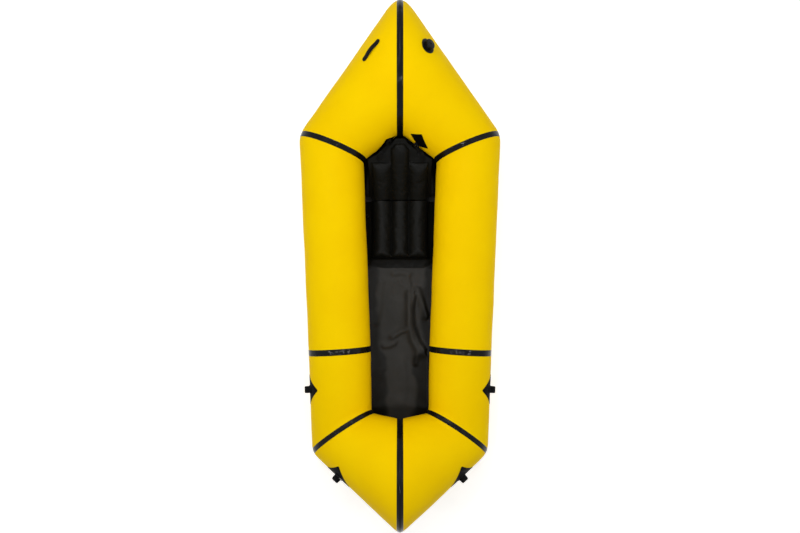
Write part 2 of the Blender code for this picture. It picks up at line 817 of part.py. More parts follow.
def hinge_strip(look, hinge):
    """A fold of fabric behind the fold line, joined to the seat's heel and the backrest's foot."""
    seat_heel = Vector((0, SEAT_REAR_Y, FLOOR_WALL + FIT + SEAT_CREST - HINGE_STRIP_DROP))
    to_hinge = hinge.matrix_basis.inverted()
    off = FIT + HINGE_STRIP_WALL / 2
    heel = to_hinge @ (seat_heel + Vector((0, off, 0)))
    heel_low = to_hinge @ (seat_heel + Vector((0, off, -HINGE_STRIP_GRIP)))
    depth = BACKREST_DEPTH - BACKREST_HEEL
    foot = Vector((0, HINGE_GAP - off, -depth + HINGE_STRIP_GRIP / 2))
    foot_low = foot - Vector((0, 0, HINGE_STRIP_GRIP / 2))
    path = [(p.y, p.z) for p in (heel_low, heel, foot, foot_low)]
    turn = Matrix.Rotation(math.radians(90), 4, "Z")
    widths = [2 * HINGE_STRIP_HALF_WIDTH] * len(path)
    ribbon("backrest_hinge_strip", path, widths, HINGE_STRIP_WALL, look, hinge, turn)


def disc_cutter(name, radius, low, high, frame, look, parent=None):
    profile = ((0, low), (radius, low), (radius, high), (0, high))
    return turned(name, profile, look, frame=frame, parent=parent)


def main_valve(panel, boot_look, plastic, rubber, steel):
    """A push-and-lock air valve in a moulded boot, with a tethered bayonet cap over it."""
    frame = LEGS[STERN_LEG].surface_frame(VALVE_ALONG, VALVE_ANGLE, 1)
    axis = empty("main_valve_axis", frame)
    hole = COLLAR_RADIUS + FIT
    combine(panel, disc_cutter("valve_hole", hole, -COLLAR_DEPTH, COLLAR_TOP, frame, rubber), "DIFFERENCE")

    boot = leg_sleeve("valve_boot", STERN_LEG, 1, FIT, FIT + BOOT_WALL, boot_look)
    disc = disc_cutter("boot_outline", BOOT_RADIUS, -COLLAR_DEPTH, COLLAR_TOP, frame, rubber)
    combine(boot, disc, "INTERSECT")
    middle = (COLLAR_RADIUS + COLLAR_BORE) / 2
    bore = disc_cutter("boot_bore", middle, -COLLAR_DEPTH, COLLAR_TOP, frame, rubber)
    combine(boot, bore, "DIFFERENCE")
    collar = tube_profile(COLLAR_BORE, COLLAR_RADIUS, -COLLAR_DEPTH, COLLAR_TOP)
    combine(boot, turned("boot_collar", collar, boot_look, frame=frame), "UNION")

    valve_body(plastic, axis)
    valve_stem(plastic, rubber, steel, axis)
    valve_cap(plastic, rubber, axis)
    valve_tether(rubber, axis)
    return axis


def tube_profile(inner, outer, low, high):
    return ((inner, low), (outer, low), (outer, high), (inner, high))


BODY_TOP = COLLAR_TOP + FIT + BODY_FLANGE
NECK_TOP = BODY_TOP + NECK_HEIGHT
HUB_TOP = 0.0
BUTTON_BASE = NECK_TOP - BUTTON_HEIGHT


def valve_body(look, axis):
    """Insert with a flange on the collar, a neck with two bayonet lugs, and a spoked hub."""
    outer = COLLAR_BORE - FIT
    profile = (
        (BODY_BORE - SEAT_LIP, -BODY_DEPTH),
        (outer, -BODY_DEPTH),
        (outer, COLLAR_TOP + FIT),
        (COLLAR_RADIUS, COLLAR_TOP + FIT),
        (COLLAR_RADIUS, BODY_TOP),
        (NECK_RADIUS + FIT, BODY_TOP),
        (NECK_RADIUS, NECK_TOP),
        (NECK_RADIUS - CAP_WALL, NECK_TOP),
        (NECK_RADIUS - CAP_WALL, -BODY_DEPTH + SEAT_LIP + BODY_FLANGE),
        (BODY_BORE - SEAT_LIP, -BODY_DEPTH + SEAT_LIP),
    )
    body = turned("valve_body", profile, look, parent=axis)
    hub_profile = tube_profile(STEM_RADIUS + FIT, HUB_RADIUS, HUB_TOP - HUB_HEIGHT, HUB_TOP)
    combine(body, turned("valve_hub", hub_profile, look, SMALL_TURN_STEPS, axis), "UNION")
    reach = NECK_RADIUS - CAP_WALL / 2
    start = (STEM_RADIUS + FIT + HUB_RADIUS) / 2
    for i in range(SPOKES):
        turn = Matrix.Rotation(math.tau * (i + 0.5) / SPOKES, 4, "Z")
        half = SPOKE_WIDTH / 2
        outline = ((start, -half), (reach, -half), (reach, half), (start, half))
        low, high = HUB_TOP - HUB_HEIGHT + FIT, HUB_TOP - FIT
        spoke = prism(f"valve_spoke_{i}", outline, low, high, turn, look)
        spoke.parent = axis
        combine(body, spoke, "UNION")
    for i, turn in enumerate((0, math.pi)):
        low = NECK_TOP - LUG_HEIGHT - FIT
        reach = NECK_RADIUS + LUG_REACH
        lug = sector(f"valve_lug_{i}", NECK_RADIUS - FIT, reach, low, low + LUG_HEIGHT, turn, look)
        lug.parent = axis
        combine(body, lug, "UNION")


def sector(name, inner, outer, low, high, turn, look, half_angle=LUG_HALF_ANGLE):
    """Part of a ring, centred on the angle turn."""
    steps = 4
    angles = [turn - half_angle + 2 * half_angle * i / steps for i in range(steps + 1)]
    outline = [(inner * math.cos(a), inner * math.sin(a)) for a in angles]
    outline += [(outer * math.cos(a), outer * math.sin(a)) for a in angles[::-1]]
    return prism(name, outline, low, high, Matrix.Identity(4), look)


def valve_stem(plastic, rubber, steel, axis):
    """Button and stem in one, the poppet that it carries, and the spring that lifts both."""
    poppet_top = -BODY_DEPTH - FIT
    stem_end = poppet_top - POPPET_HEIGHT - BUTTON_HEIGHT
    dish = BUTTON_HEIGHT / 3
    profile = (
        (0, stem_end),
        (STEM_RADIUS, stem_end),
        (STEM_RADIUS, BUTTON_BASE),
        (BUTTON_RADIUS, BUTTON_BASE),
        (BUTTON_RADIUS, NECK_TOP - dish / 2),
        (BUTTON_RADIUS - dish, NECK_TOP),
        (BUTTON_RADIUS - 3 * dish, NECK_TOP),
        (0, NECK_TOP - dish),
    )
    turned("valve_stem", profile, plastic, SMALL_TURN_STEPS, axis)
    rim = tube_profile(STEM_RADIUS + FIT, BODY_BORE, poppet_top - POPPET_HEIGHT, poppet_top)
    turned("valve_poppet", rim, rubber, parent=axis)
    low, high = HUB_TOP + FIT + SPRING_WIRE, BUTTON_BASE - FIT - SPRING_WIRE
    count = round(SPRING_TURNS * SPRING_TURN_POINTS)
    coil = []
    for i in range(count + 1):
        turn = math.tau * i / SPRING_TURN_POINTS
        height = low + (high - low) * i / count
        coil.append(Vector((SPRING_RADIUS * math.cos(turn), SPRING_RADIUS * math.sin(turn), height)))
    pitch = (high - low) / SPRING_TURNS
    print(f"valve_spring: least gap between turns {pitch - 2 * SPRING_WIRE:.5f} m")
    wire("valve_spring", coil, SPRING_WIRE, 6, steel, axis)


GASKET_GAP = 2 * FIT + 2 * GASKET_RADIUS
PLATE_BASE = NECK_TOP + GASKET_GAP
CAP_TOP = PLATE_BASE + CAP_WALL


def valve_cap(look, rubber, axis):
    """Cap with a fluted grip, an inner lip under the body's lugs, and a post for its tether."""
    lip_top = NECK_TOP - LUG_HEIGHT - 2 * FIT
    lip_base = BODY_TOP + 2 * FIT
    groove = NECK_RADIUS + LUG_REACH + FIT
    profile = (
        (0, PLATE_BASE),
        (groove, PLATE_BASE),
        (groove, lip_top),
        (NECK_RADIUS + 2 * FIT, lip_top),
        (NECK_RADIUS + 2 * FIT, lip_base),
        (CAP_RADIUS, lip_base),
        (CAP_RADIUS, CAP_TOP - CAP_CHAMFER),
        (CAP_RADIUS - CAP_CHAMFER, CAP_TOP),
        (POST_RADIUS, CAP_TOP),
        (POST_RADIUS, CAP_TOP + 2 * FIT + TETHER_WALL),
        (POST_HEAD_RADIUS, CAP_TOP + 2 * FIT + TETHER_WALL),
        (POST_HEAD_RADIUS, CAP_TOP + 2 * FIT + TETHER_WALL + POST_HEAD_HEIGHT / 2),
        (POST_RADIUS, CAP_TOP + 2 * FIT + TETHER_WALL + POST_HEAD_HEIGHT),
        (0, CAP_TOP + 2 * FIT + TETHER_WALL + POST_HEAD_HEIGHT),
    )
    cap = turned("valve_cap", profile, look, steps=4 * GRIP_FLUTES, parent=axis)
    centre = CAP_RADIUS - GRIP_FLUTE_DEPTH + GRIP_FLUTE_RADIUS
    for i in range(GRIP_FLUTES):
        turn = math.tau * (i + 0.5) / GRIP_FLUTES
        place = Matrix.Translation((centre * math.cos(turn), centre * math.sin(turn), 0))
        profile = (
            (0, lip_base - OVERRUN),
            (GRIP_FLUTE_RADIUS, lip_base - OVERRUN),
            (GRIP_FLUTE_RADIUS, CAP_TOP + OVERRUN),
            (0, CAP_TOP + OVERRUN),
        )
        flute = turned(f"cap_flute_{i}", profile, look, steps=8, parent=axis, frame=place)
        combine(cap, flute, "DIFFERENCE")
    for i, turn in enumerate((math.pi / 2, -math.pi / 2)):
        inner = NECK_RADIUS - FIT
        slot = sector(
            f"cap_slot_{i}",
            inner,
            groove - FIT / 2,
            lip_base - OVERRUN,
            lip_top + FIT,
            turn,
            look,
            LUG_HALF_ANGLE * groove / NECK_RADIUS,
        )
        slot.parent = axis
        combine(cap, slot, "DIFFERENCE")
    middle = NECK_RADIUS - CAP_WALL / 2
    height = NECK_TOP + GASKET_GAP / 2
    turns = [math.tau * i / GASKET_STEPS for i in range(GASKET_STEPS)]
    ring = [(middle + GASKET_RADIUS * math.cos(a), height + GASKET_RADIUS * math.sin(a)) for a in turns]
    turned("valve_cap_gasket", ring, rubber, parent=axis)


def valve_tether(look, axis):
    """Ring round the collar, a strap that rises outboard of the cap, and an eye round its post."""
    low = COLLAR_TOP - FIT - TETHER_RING_HEIGHT
    inner = COLLAR_RADIUS + FIT
    outer = inner + TETHER_RING_WALL
    profile = tube_profile(inner, outer, low, low + TETHER_RING_HEIGHT)
    ring = turned("valve_cap_tether", profile, look, parent=axis)
    eye_low = CAP_TOP + FIT
    eye = tube_profile(POST_RADIUS + FIT, POST_HEAD_RADIUS + TETHER_WALL, eye_low, eye_low + TETHER_WALL)
    combine(ring, turned("tether_eye", eye, look, SMALL_TURN_STEPS, axis), "UNION")
    half = TETHER_WALL / 2
    out = CAP_RADIUS + FIT + half
    start = (inner + outer) / 2
    top = eye_low + half
    bulge = out + TETHER_BULGE
    middle = (low + top) / 2
    path = [(start, low + half), (out, low + half)]
    path += [(bulge, middle), (bulge, (middle + top) / 2), (out + half, top - half / 2)]
    path += [(CAP_RADIUS - CAP_CHAMFER, top), (POST_HEAD_RADIUS, top)]
    turn = Matrix.Rotation(-math.pi / 2, 4, "Z")
    strap = ribbon("tether_strap", path, [TETHER_WIDTH] * len(path), TETHER_WALL, look, axis, turn)
    combine(ring, strap, "UNION")


def twist_valve(name, plastic, look, parent, frame):
    """A flange welded to the pad, a neck, and a nozzle that twists on it."""
    base = TWIST_NECK_HEIGHT
    profile = (
        (TWIST_BORE, FIT),
        (TWIST_FLANGE_RADIUS, FIT),
        (TWIST_FLANGE_RADIUS, FIT + PAD_SKIN),
        (TWIST_NECK_RADIUS, FIT + 2 * PAD_SKIN),
        (TWIST_NECK_RADIUS, base),
        (TWIST_BORE, base),
    )
    turned(f"{name}_valve_base", profile, look, SMALL_TURN_STEPS, parent, frame)
    skirt = base - TWIST_SKIRT
    top = base + TWIST_NOZZLE_HEIGHT
    mouth = (TWIST_BORE + TWIST_NECK_RADIUS) / 2
    profile = (
        (TWIST_NECK_RADIUS + FIT, skirt),
        (TWIST_NOZZLE_RADIUS, skirt),
        (TWIST_NOZZLE_RADIUS, base + TWIST_SKIRT),
        (mouth, base + 2 * TWIST_SKIRT),
        (mouth, top - TWIST_BORE),
        (TWIST_NECK_RADIUS, top - TWIST_BORE),
        (mouth, top),
        (TWIST_BORE, top),
        (TWIST_BORE, base + FIT),
        (TWIST_NECK_RADIUS + FIT, base + FIT),
    )
    turned(f"{name}_valve_nozzle", profile, plastic, SMALL_TURN_STEPS, parent, frame)


def backrest_point(hinge, x, place, height):
    """World place of a point in the backrest's own frame."""
    return hinge.matrix_basis @ Vector((x, place + HINGE_GAP, height))


def frame_outline(half_length, half_width):
    return (
        (-half_length, -half_width),
        (half_length, -half_width),
        (half_length, half_width),
        (-half_length, half_width),
    )


def backrest_strap(name, side, anchor, keeper, tab, hinge, looks):
    """One side's strap from the tube to the backrest, with every piece that holds it."""
    patch_look, web_look, plastic = looks
    along, angle = anchor
    radius = leg_radius(STERN_LEG, along)
    outline = skewed_outline(ANCHOR_HALF_LENGTH, ANCHOR_HALF_BREADTH, ANCHOR_SKEW, ANCHOR_TURN, radius)
    outline = [(x, side * -y) for x, y in outline]
    patch(f"anchor_patch_{name}", STERN_LEG, side, along, angle, outline, patch_look)

    wall = LEGS[STERN_LEG].surface_frame(*keeper, side)
    flange = -BACKREST_DEPTH / 2 + PAD_SKIN
    lock_lift = FIT + STRAP_WEBBING + FIT + LOCK_WALL / 2
    tab = backrest_point(hinge, *tab, flange + lock_lift)
    normal = hinge.matrix_basis.to_3x3() @ UP
    off_wall = wall.to_3x3() @ UP
    start = wall.translation + off_wall * KEEPER_REACH
    run = (tab - start).normalized()
    frame = frame_of(tab, run, normal)
    lock_frame = frame_of(tab, run - normal * run.dot(normal), normal)
    slope = Matrix.Rotation(-math.asin(run.dot(normal)), 2)
    span = (tab - start).length
    half_webbing = STRAP_WEBBING / 2
    eye = RING_WIRE + FIT + half_webbing
    local_wall = frame.to_3x3().inverted() @ off_wall
    twist = math.atan2(-local_wall.y, local_wall.z)
    ring_frame = frame @ Matrix.Rotation(twist, 4, "X")

    keeper_bar = -span
    strap_bar = keeper_bar + RING_REACH
    half_bar = RING_LENGTH / 2 + RING_WIRE
    corner = RING_WIRE * 2
    bars = [
        (keeper_bar, -half_bar + corner),
        (keeper_bar, half_bar - corner),
        (keeper_bar + corner, half_bar),
        (strap_bar - corner, half_bar),
        (strap_bar, half_bar - corner),
        (strap_bar, -half_bar + corner),
        (strap_bar - corner, -half_bar),
        (keeper_bar + corner, -half_bar),
    ]
    bars = [Vector((x, y, 0)) for x, y in bars]
    wire(f"strap_ring_{name}", bars, RING_WIRE, 8, plastic, frame=ring_frame, closed=True)

    root = -KEEPER_REACH - OVERRUN
    keeper_path = [(root, -eye)] + arc(0, 0, eye, -90, 90, 6) + [(root, eye)]
    widths = [STRAP_WIDTH] * len(keeper_path)
    keeper_frame = frame_of(start, off_wall, -run)
    loop = ribbon(f"ring_keeper_{name}", keeper_path, widths, STRAP_WEBBING, web_look, frame=keeper_frame)
    core = leg_core(f"keeper_root_{name}", STERN_LEG, side, FIT + PATCH_WALL + FIT, web_look)
    combine(loop, core, "DIFFERENCE")

    low = -LOCK_WALL / 2 - FIT - half_webbing
    high = LOCK_WALL / 2 + 2 * FIT + STRAP_WEBBING + half_webbing
    half_lock = LOCK_BAR * 3 / 2 + LOCK_SLOT
    top_bar = -half_lock + LOCK_BAR / 2
    slot_mid = -LOCK_BAR / 2 - LOCK_SLOT / 2
    strap = [(strap_bar + eye * 2, -eye)] + arc(strap_bar, 0, eye, 270, 90, 8)
    twists = [twist] * len(strap)
    free_steps = 5
    free_start, free_end = strap_bar + eye, -half_lock - 2 * LOCK_BAR
    for i in range(free_steps + 1):
        share = i / free_steps
        strap.append((free_start + (free_end - free_start) * share, eye + (low - eye) * share))
        twists.append(twist * (1 - share))
    bar_end = top_bar + LOCK_BAR / 2 + half_webbing
    through = [(top_bar - LOCK_BAR / 2, low), (bar_end, low), (slot_mid, (low + high) / 2)]
    through += [(0, high), (half_lock + TAIL_LENGTH, high)]
    strap += [tuple(slope @ Vector(point)) for point in through]
    twists += [0] * (len(strap) - len(twists))
    widths = [STRAP_WIDTH] * len(strap)
    ribbon(f"backrest_strap_{name}", strap, widths, STRAP_WEBBING, web_look, frame=frame, twists=twists)

    local = hinge.matrix_basis.inverted() @ lock_frame
    half_width = STRAP_WIDTH / 2 + FIT + LOCK_SIDE
    lock = prism(
        f"ladder_lock_{name}",
        frame_outline(half_lock, half_width),
        -LOCK_WALL / 2,
        LOCK_WALL / 2,
        local,
        plastic,
    )
    lock.parent = hinge
    for i, middle in enumerate((-1, 1)):
        place = local @ Matrix.Translation((middle * (LOCK_BAR + LOCK_SLOT) / 2, 0, 0))
        window = frame_outline(LOCK_SLOT / 2, STRAP_WIDTH / 2 + FIT)
        slot = prism(f"lock_slot_{name}_{i}", window, -LOCK_WALL, LOCK_WALL, place, plastic)
        slot.parent = hinge
        combine(lock, slot, "DIFFERENCE")

    end_bar = LOCK_BAR + LOCK_SLOT
    hold = LOCK_WALL / 2 + FIT + half_webbing
    tab_path = [(end_bar + TAB_LENGTH, -hold), (end_bar, -hold)]
    tab_path += [(end_bar - LOCK_BAR / 2 - FIT - half_webbing, -hold)]
    tab_path += [(end_bar - LOCK_BAR / 2 - FIT - half_webbing, hold), (end_bar + LOCK_BAR * 2, hold)]
    widths = [STRAP_WIDTH] * len(tab_path)
    ribbon(f"lock_tab_{name}", tab_path, widths, STRAP_WEBBING, web_look, hinge, local)


def build():
    clear_scene()
    yellow = material("coated_yellow_fabric", (0.91, 0.56, 0.0), 0.38)
    black_tape = material("black_seam_tape", (0.012, 0.012, 0.012), 0.18)
    floor_fabric = material("dark_floor_fabric", (0.035, 0.033, 0.031), 0.55)
    seat_fabric = material("black_seat_fabric", (0.014, 0.014, 0.014), 0.5)
    webbing = material("black_webbing", (0.01, 0.01, 0.01), 0.7)
    rubber = material("moulded_rubber", (0.016, 0.016, 0.016), 0.45)
    plastic = material("black_plastic", (0.02, 0.02, 0.021), 0.32)
    seal = material("soft_seal_rubber", (0.03, 0.03, 0.03), 0.6)
    steel = material("spring_steel", (0.5, 0.5, 0.5), 0.3, 1.0)

    panels = tube_panels(yellow)
    seam_tapes(black_tape)
    floor_sheet(floor_fabric)
    tie_downs(black_tape, webbing)
    lash_strap(webbing)
    seat_cushion(seat_fabric)
    hinge = empty("backrest_hinge", hinge_frame())
    backrest_cushion(seat_fabric, hinge)
    hinge_strip(seat_fabric, hinge)
    main_valve(panels["stern_tube_right"], rubber, plastic, seal, steel)
    looks = (black_tape, webbing, plastic)
    right = (RIGHT_ANCHOR_ALONG, RIGHT_ANCHOR_ANGLE)
    left = (LEFT_ANCHOR_ALONG, LEFT_ANCHOR_ANGLE)
    right_keeper = (RIGHT_KEEPER_ALONG, RIGHT_KEEPER_ANGLE)
    left_keeper = (LEFT_KEEPER_ALONG, LEFT_KEEPER_ANGLE)
    right_tab = (SEAT_HALF_BREADTH * RIGHT_TAB_SHARE, RIGHT_TAB_PLACE)
    left_tab = (SEAT_HALF_BREADTH * LEFT_TAB_SHARE, LEFT_TAB_PLACE)
    backrest_strap("right", 1, right, right_keeper, right_tab, hinge, looks)
    backrest_strap("left", -1, left, left_keeper, left_tab, hinge, looks)
    flange = FLOOR_WALL + FIT + PAD_SKIN
    seat_valve_x = -SEAT_HALF_BREADTH - SEAT_FLANGE * SEAT_VALVE_FLANGE_SHARE
    place = Matrix.Translation((seat_valve_x, SEAT_REAR_Y - SEAT_VALVE_BACK, flange))
    twist_valve("seat", plastic, rubber, empty("seat_valve_axis", place), Matrix.Identity(4))
    flip = Matrix.Rotation(math.pi, 4, "X")
    backrest_valve_x = SEAT_HALF_BREADTH * BACKREST_VALVE_SHARE
    place = Matrix.Translation((backrest_valve_x, BACKREST_VALVE_PLACE, -BACKREST_DEPTH)) @ flip
    twist_valve("backrest", plastic, rubber, hinge, place)


build()
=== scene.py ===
"""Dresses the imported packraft: tubes, seam tapes, floor, padded seat and backrest, webbing and valves.

Metres, +Z up, +Y to the stern and +X to the right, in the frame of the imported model. The tube's legs
are numbered from the stern, and seam k is where leg k starts.
"""

import json
import math

import bmesh
import bpy
import numpy as np
from mathutils import Matrix, Vector


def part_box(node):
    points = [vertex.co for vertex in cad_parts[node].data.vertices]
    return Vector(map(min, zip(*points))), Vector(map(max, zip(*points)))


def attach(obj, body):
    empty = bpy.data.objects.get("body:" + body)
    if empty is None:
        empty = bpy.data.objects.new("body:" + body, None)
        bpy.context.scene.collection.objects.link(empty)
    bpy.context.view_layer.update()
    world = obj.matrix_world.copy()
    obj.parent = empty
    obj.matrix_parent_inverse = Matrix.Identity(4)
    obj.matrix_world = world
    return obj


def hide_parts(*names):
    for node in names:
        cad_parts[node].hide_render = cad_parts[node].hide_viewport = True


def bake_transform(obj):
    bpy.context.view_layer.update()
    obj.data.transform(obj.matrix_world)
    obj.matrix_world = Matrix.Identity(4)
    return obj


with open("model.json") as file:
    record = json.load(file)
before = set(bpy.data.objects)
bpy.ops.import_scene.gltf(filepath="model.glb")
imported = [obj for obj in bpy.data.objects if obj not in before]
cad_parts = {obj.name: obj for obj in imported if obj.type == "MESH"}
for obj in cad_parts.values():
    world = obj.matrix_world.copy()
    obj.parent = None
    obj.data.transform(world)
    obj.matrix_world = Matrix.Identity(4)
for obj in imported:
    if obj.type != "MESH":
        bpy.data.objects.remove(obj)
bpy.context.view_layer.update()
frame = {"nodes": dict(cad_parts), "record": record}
NODES = frame["nodes"]
RECORD = frame["record"]

# Sizes that repeat the solids' own

FIT = 0.0003
TAPE_WIDTH = 0.0248
TAPE_WALL = 0.0003
FLOOR_WALL = 0.0008
FLOOR_LIFT = 2 * FIT + TAPE_WALL
TUBE_GROUND = FLOOR_LIFT + FLOOR_WALL
# How far from the mirror plane each tip is rounded, by leg
TIP_ROUNDS = {0: 0.0540, 3: 0.0320}
TUBE_FACETS = 32
FLOOR_WRAP_FACETS = 3

# Half breadth, place along the boat, rise of the underside, radius
STATIONS = (
    (0, 0.7615, 0.0208, 0.1880),
    (0.2840, 0.4935, 0, 0.1300),
    (0.2496, -0.3625, 0, 0.1280),
    (0.2406, -0.7213, 0.0029, 0.1242),
    (0, -0.8157, 0.0449, 0.1863),
)

UP = np.array((0.0, 0.0, 1.0))
ACROSS = np.array((1.0, 0.0, 0.0))
SIDES = (-1, "left"), (1, "right")


# Small helpers


def unit(v):
    v = np.asarray(v, float)
    return v / np.linalg.norm(v, axis=-1, keepdims=True)


def smooth(x, low, high):
    """0 below low, 1 above high, smooth between."""
    t = np.clip((np.asarray(x, float) - low) / (high - low), 0, 1)
    return t * t * (3 - 2 * t)


def between(x, rise, fall):
    """0 outside a stretch and 1 in it. It rises over one pair of places and falls over the other."""
    return smooth(x, *rise) * (1 - smooth(x, *fall))


def sided(places, side):
    """Places on the right side as they are on this one: 1 is right and -1 is left."""
    return places * np.array((side, 1, 1))


class Waves:
    """Smooth noise from a sum of plane waves, about -1 to 1, of one typical wavelength."""

    def __init__(self, length, seed, count=14):
        rng = np.random.default_rng(seed)
        direction = unit(rng.normal(size=(count, 3)))
        size = 2 * math.pi / (length * rng.uniform(0.7, 1.5, count))
        self.k = direction * size[:, None]
        self.phase = rng.uniform(0, 2 * math.pi, count)

    def __call__(self, points):
        points = np.asarray(points, float)
        flat = points.reshape(-1, 3)
        total = np.sin(flat @ self.k.T + self.phase).sum(1)
        return (total / math.sqrt(len(self.phase)) * 1.1).reshape(points.shape[:-1])


def set_cloth_uvs(mesh, uvs):
    """Writes one cloth coordinate for each vertex."""
    layer = mesh.uv_layers.new(name="cloth")
    loops = np.zeros(len(mesh.loops), np.int32)
    mesh.loops.foreach_get("vertex_index", loops)
    layer.data.foreach_set("uv", np.asarray(uvs, np.float32)[loops].ravel())


def places_of(mesh):
    """The mesh's vertices as rows of x, y and z."""
    places = np.zeros(len(mesh.vertices) * 3)
    mesh.vertices.foreach_get("co", places)
    return places.reshape(-1, 3)


def mesh_object(name, verts, faces, material, uvs=None):
    mesh = bpy.data.meshes.new(name)
    mesh.from_pydata([tuple(v) for v in verts], [], faces)
    if uvs is not None:
        set_cloth_uvs(mesh, uvs)
    mesh.materials.append(material)
    mesh.shade_smooth()
    mesh.update()
    obj = bpy.data.objects.new(name, mesh)
    bpy.context.collection.objects.link(obj)
    return obj


def grid_faces(rows, columns, wrap=False):
    """Quads of a grid of points, row by row, joined round the columns when wrapped."""
    faces = []
    for i in range(rows - 1):
        for j in range(columns if wrap else columns - 1):
            a, b = i * columns + j, i * columns + (j + 1) % columns
            faces.append((a, b, b + columns, a + columns))
    return faces


def grid_object(name, grid, material, uvs, wrap=True):
    """An object from a grid of points, row by row."""
    faces = grid_faces(*grid.shape[:2], wrap)
    return mesh_object(name, grid.reshape(-1, 3), faces, material, uvs.reshape(-1, 2))


def solidified(obj, thickness, offset=-1.0):
    """Gives a sheet its wall and applies it, so that the mesh is a closed shell."""
    step = obj.modifiers.new("wall", "SOLIDIFY")
    step.thickness = thickness
    step.offset = offset
    step.use_even_offset = False
    apply_modifiers(obj)
    return obj


def facing_out(obj):
    """Turns an open sheet's faces away from its own middle."""
    mesh = obj.data
    middle = sum((v.co for v in mesh.vertices), Vector()) / len(mesh.vertices)
    if sum(p.area * p.normal.dot(p.center - middle) for p in mesh.polygons) < 0:
        mesh.flip_normals()
    return obj


def apply_modifiers(obj):
    depsgraph = bpy.context.evaluated_depsgraph_get()
    made = bpy.data.meshes.new_from_object(obj.evaluated_get(depsgraph), depsgraph=depsgraph)
    old = obj.data
    obj.modifiers.clear()
    obj.data = made
    bpy.data.meshes.remove(old)


def reworked(obj, work):
    """Runs a function on the object's mesh as a bmesh, and writes it back."""
    bm = bmesh.new()
    bm.from_mesh(obj.data)
    work(bm)
    bm.to_mesh(obj.data)
    bm.free()
    return obj


def outward(obj):
    """Turns every face outward on a closed mesh."""
    return reworked(obj, lambda bm: bmesh.ops.recalc_face_normals(bm, faces=bm.faces))


def place(obj, body, slot, *nodes):
    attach(obj, body)
    if nodes:
        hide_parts(*nodes)


# Solids that keep their own shape

BODY_OF = {node: body for body, nodes in RECORD["behaviour"]["bodies"].items() for node in nodes}
MERGE_DISTANCE = 2e-6
FLAT_ANGLE = math.radians(0.6)
BEVEL_ANGLE = math.radians(32)
SHARP_ANGLE = math.radians(40)


def merged_flat(bm):
    """Joins doubled vertices, and the triangles of one flat face."""
    bmesh.ops.remove_doubles(bm, verts=bm.verts, dist=MERGE_DISTANCE)
    bmesh.ops.dissolve_limit(bm, angle_limit=FLAT_ANGLE, verts=bm.verts, edges=bm.edges)


def dressed(node, material, bevel=0.0003, segments=2, uv_axes=None):
    """A copy of a solid's own mesh with small rounded edges, in place of the solid."""
    obj = bpy.data.objects.new(f"{node}_dressed", NODES[node].data.copy())
    bpy.context.collection.objects.link(obj)
    reworked(obj, merged_flat)
    if bevel:
        step = obj.modifiers.new("edges", "BEVEL")
        step.width = bevel
        step.segments = segments
        step.limit_method = "ANGLE"
        step.angle_limit = BEVEL_ANGLE
        step.harden_normals = False
        apply_modifiers(obj)
    obj.data.materials.clear()
    obj.data.materials.append(material)
    obj.data.shade_smooth()
    obj.data.set_sharp_from_angle(angle=SHARP_ANGLE)
    if uv_axes:
        set_cloth_uvs(obj.data, places_of(obj.data) @ np.array(uv_axes).T)
    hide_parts(node)
    return obj


def dress_and_ride(node, material, *edges, **settings):
    """A dressed solid that rides with the solid's own body."""
    obj = dressed(node, material, *edges, **settings)
    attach(obj, BODY_OF[node])


# Materials

# The colours' sockets on a Mix node, which has others for each kind of data
MIX_FIRST, MIX_SECOND, MIX_RESULT = 6, 7, 2
# Painted light on the floor: darker sides stand for the tubes' shade, against a lighter middle that also
# stands for overhead sheen.
# The middle's half breadth at the bow and by the seat, the stretch where it widens, and how far its border
# wanders
SHADE_BORDER_NARROW, SHADE_BORDER_WIDE = 0.058, 0.100
SHADE_BORDER_WIDENS = -0.42, -0.35
SHADE_BORDER_WANDER = 0.014


class Nodes:
    """Short calls for building the nodes of a material, or of the world."""

    def __init__(self, owner):
        owner.use_nodes = True
        self.owner = owner
        self.tree = owner.node_tree
        self.shader = self.tree.nodes.get("Principled BSDF")

    def add(self, kind, **settings):
        node = self.tree.nodes.new("ShaderNode" + kind)
        for key, value in settings.items():
            setattr(node, key, value)
        return node

    def link(self, start, end):
        self.tree.links.new(start, end)

    def value(self, node, **inputs):
        for key, value in inputs.items():
            node.inputs[key.replace("_", " ")].default_value = value
        return node

    def coordinates(self, kind="Object"):
        return self.add("TexCoord").outputs[kind]

    def noise(self, source, scale, detail=2.0, roughness=0.5):
        node = self.add("TexNoise")
        self.value(node, Scale=scale, Detail=detail, Roughness=roughness)
        self.link(source, node.inputs["Vector"])
        return node.outputs["Fac"]

    def remap(self, source, low, high, to_low, to_high):
        node = self.add("MapRange", interpolation_type="SMOOTHSTEP")
        self.value(node, From_Min=low, From_Max=high, To_Min=to_low, To_Max=to_high)
        self.link(source, node.inputs["Value"])
        return node.outputs["Result"]

    def math(self, operation, first, second=None):
        node = self.add("Math", operation=operation)
        for socket, value in zip(node.inputs, (first, second)):
            if value is None:
                continue
            if isinstance(value, (int, float)):
                socket.default_value = value
            else:
                self.link(value, socket)
        return node.outputs[0]

    def mix(self, factor, first, second):
        node = self.add("Mix", data_type="RGBA")
        self.link(factor, node.inputs["Factor"])
        for socket, value in ((node.inputs[MIX_FIRST], first), (node.inputs[MIX_SECOND], second)):
            if isinstance(value, tuple):
                socket.default_value = (*value, 1.0)
            else:
                self.link(value, socket)
        return node.outputs[MIX_RESULT]

    def bump(self, height, distance, strength=1.0, base=None):
        node = self.add("Bump")
        self.value(node, Strength=strength, Distance=distance)
        self.link(height, node.inputs["Height"])
        if base is not None:
            self.link(base, node.inputs["Normal"])
        return node.outputs["Normal"]

    def split(self, source):
        node = self.add("SeparateXYZ")
        self.link(source, node.inputs[0])
        return node.outputs

    def finish(self, colour, roughness, normal, **constants):
        for socket, value in (("Base Color", colour), ("Roughness", roughness), ("Normal", normal)):
            self.link(value, self.shader.inputs[socket])
        self.value(self.shader, **constants)
        return self.owner


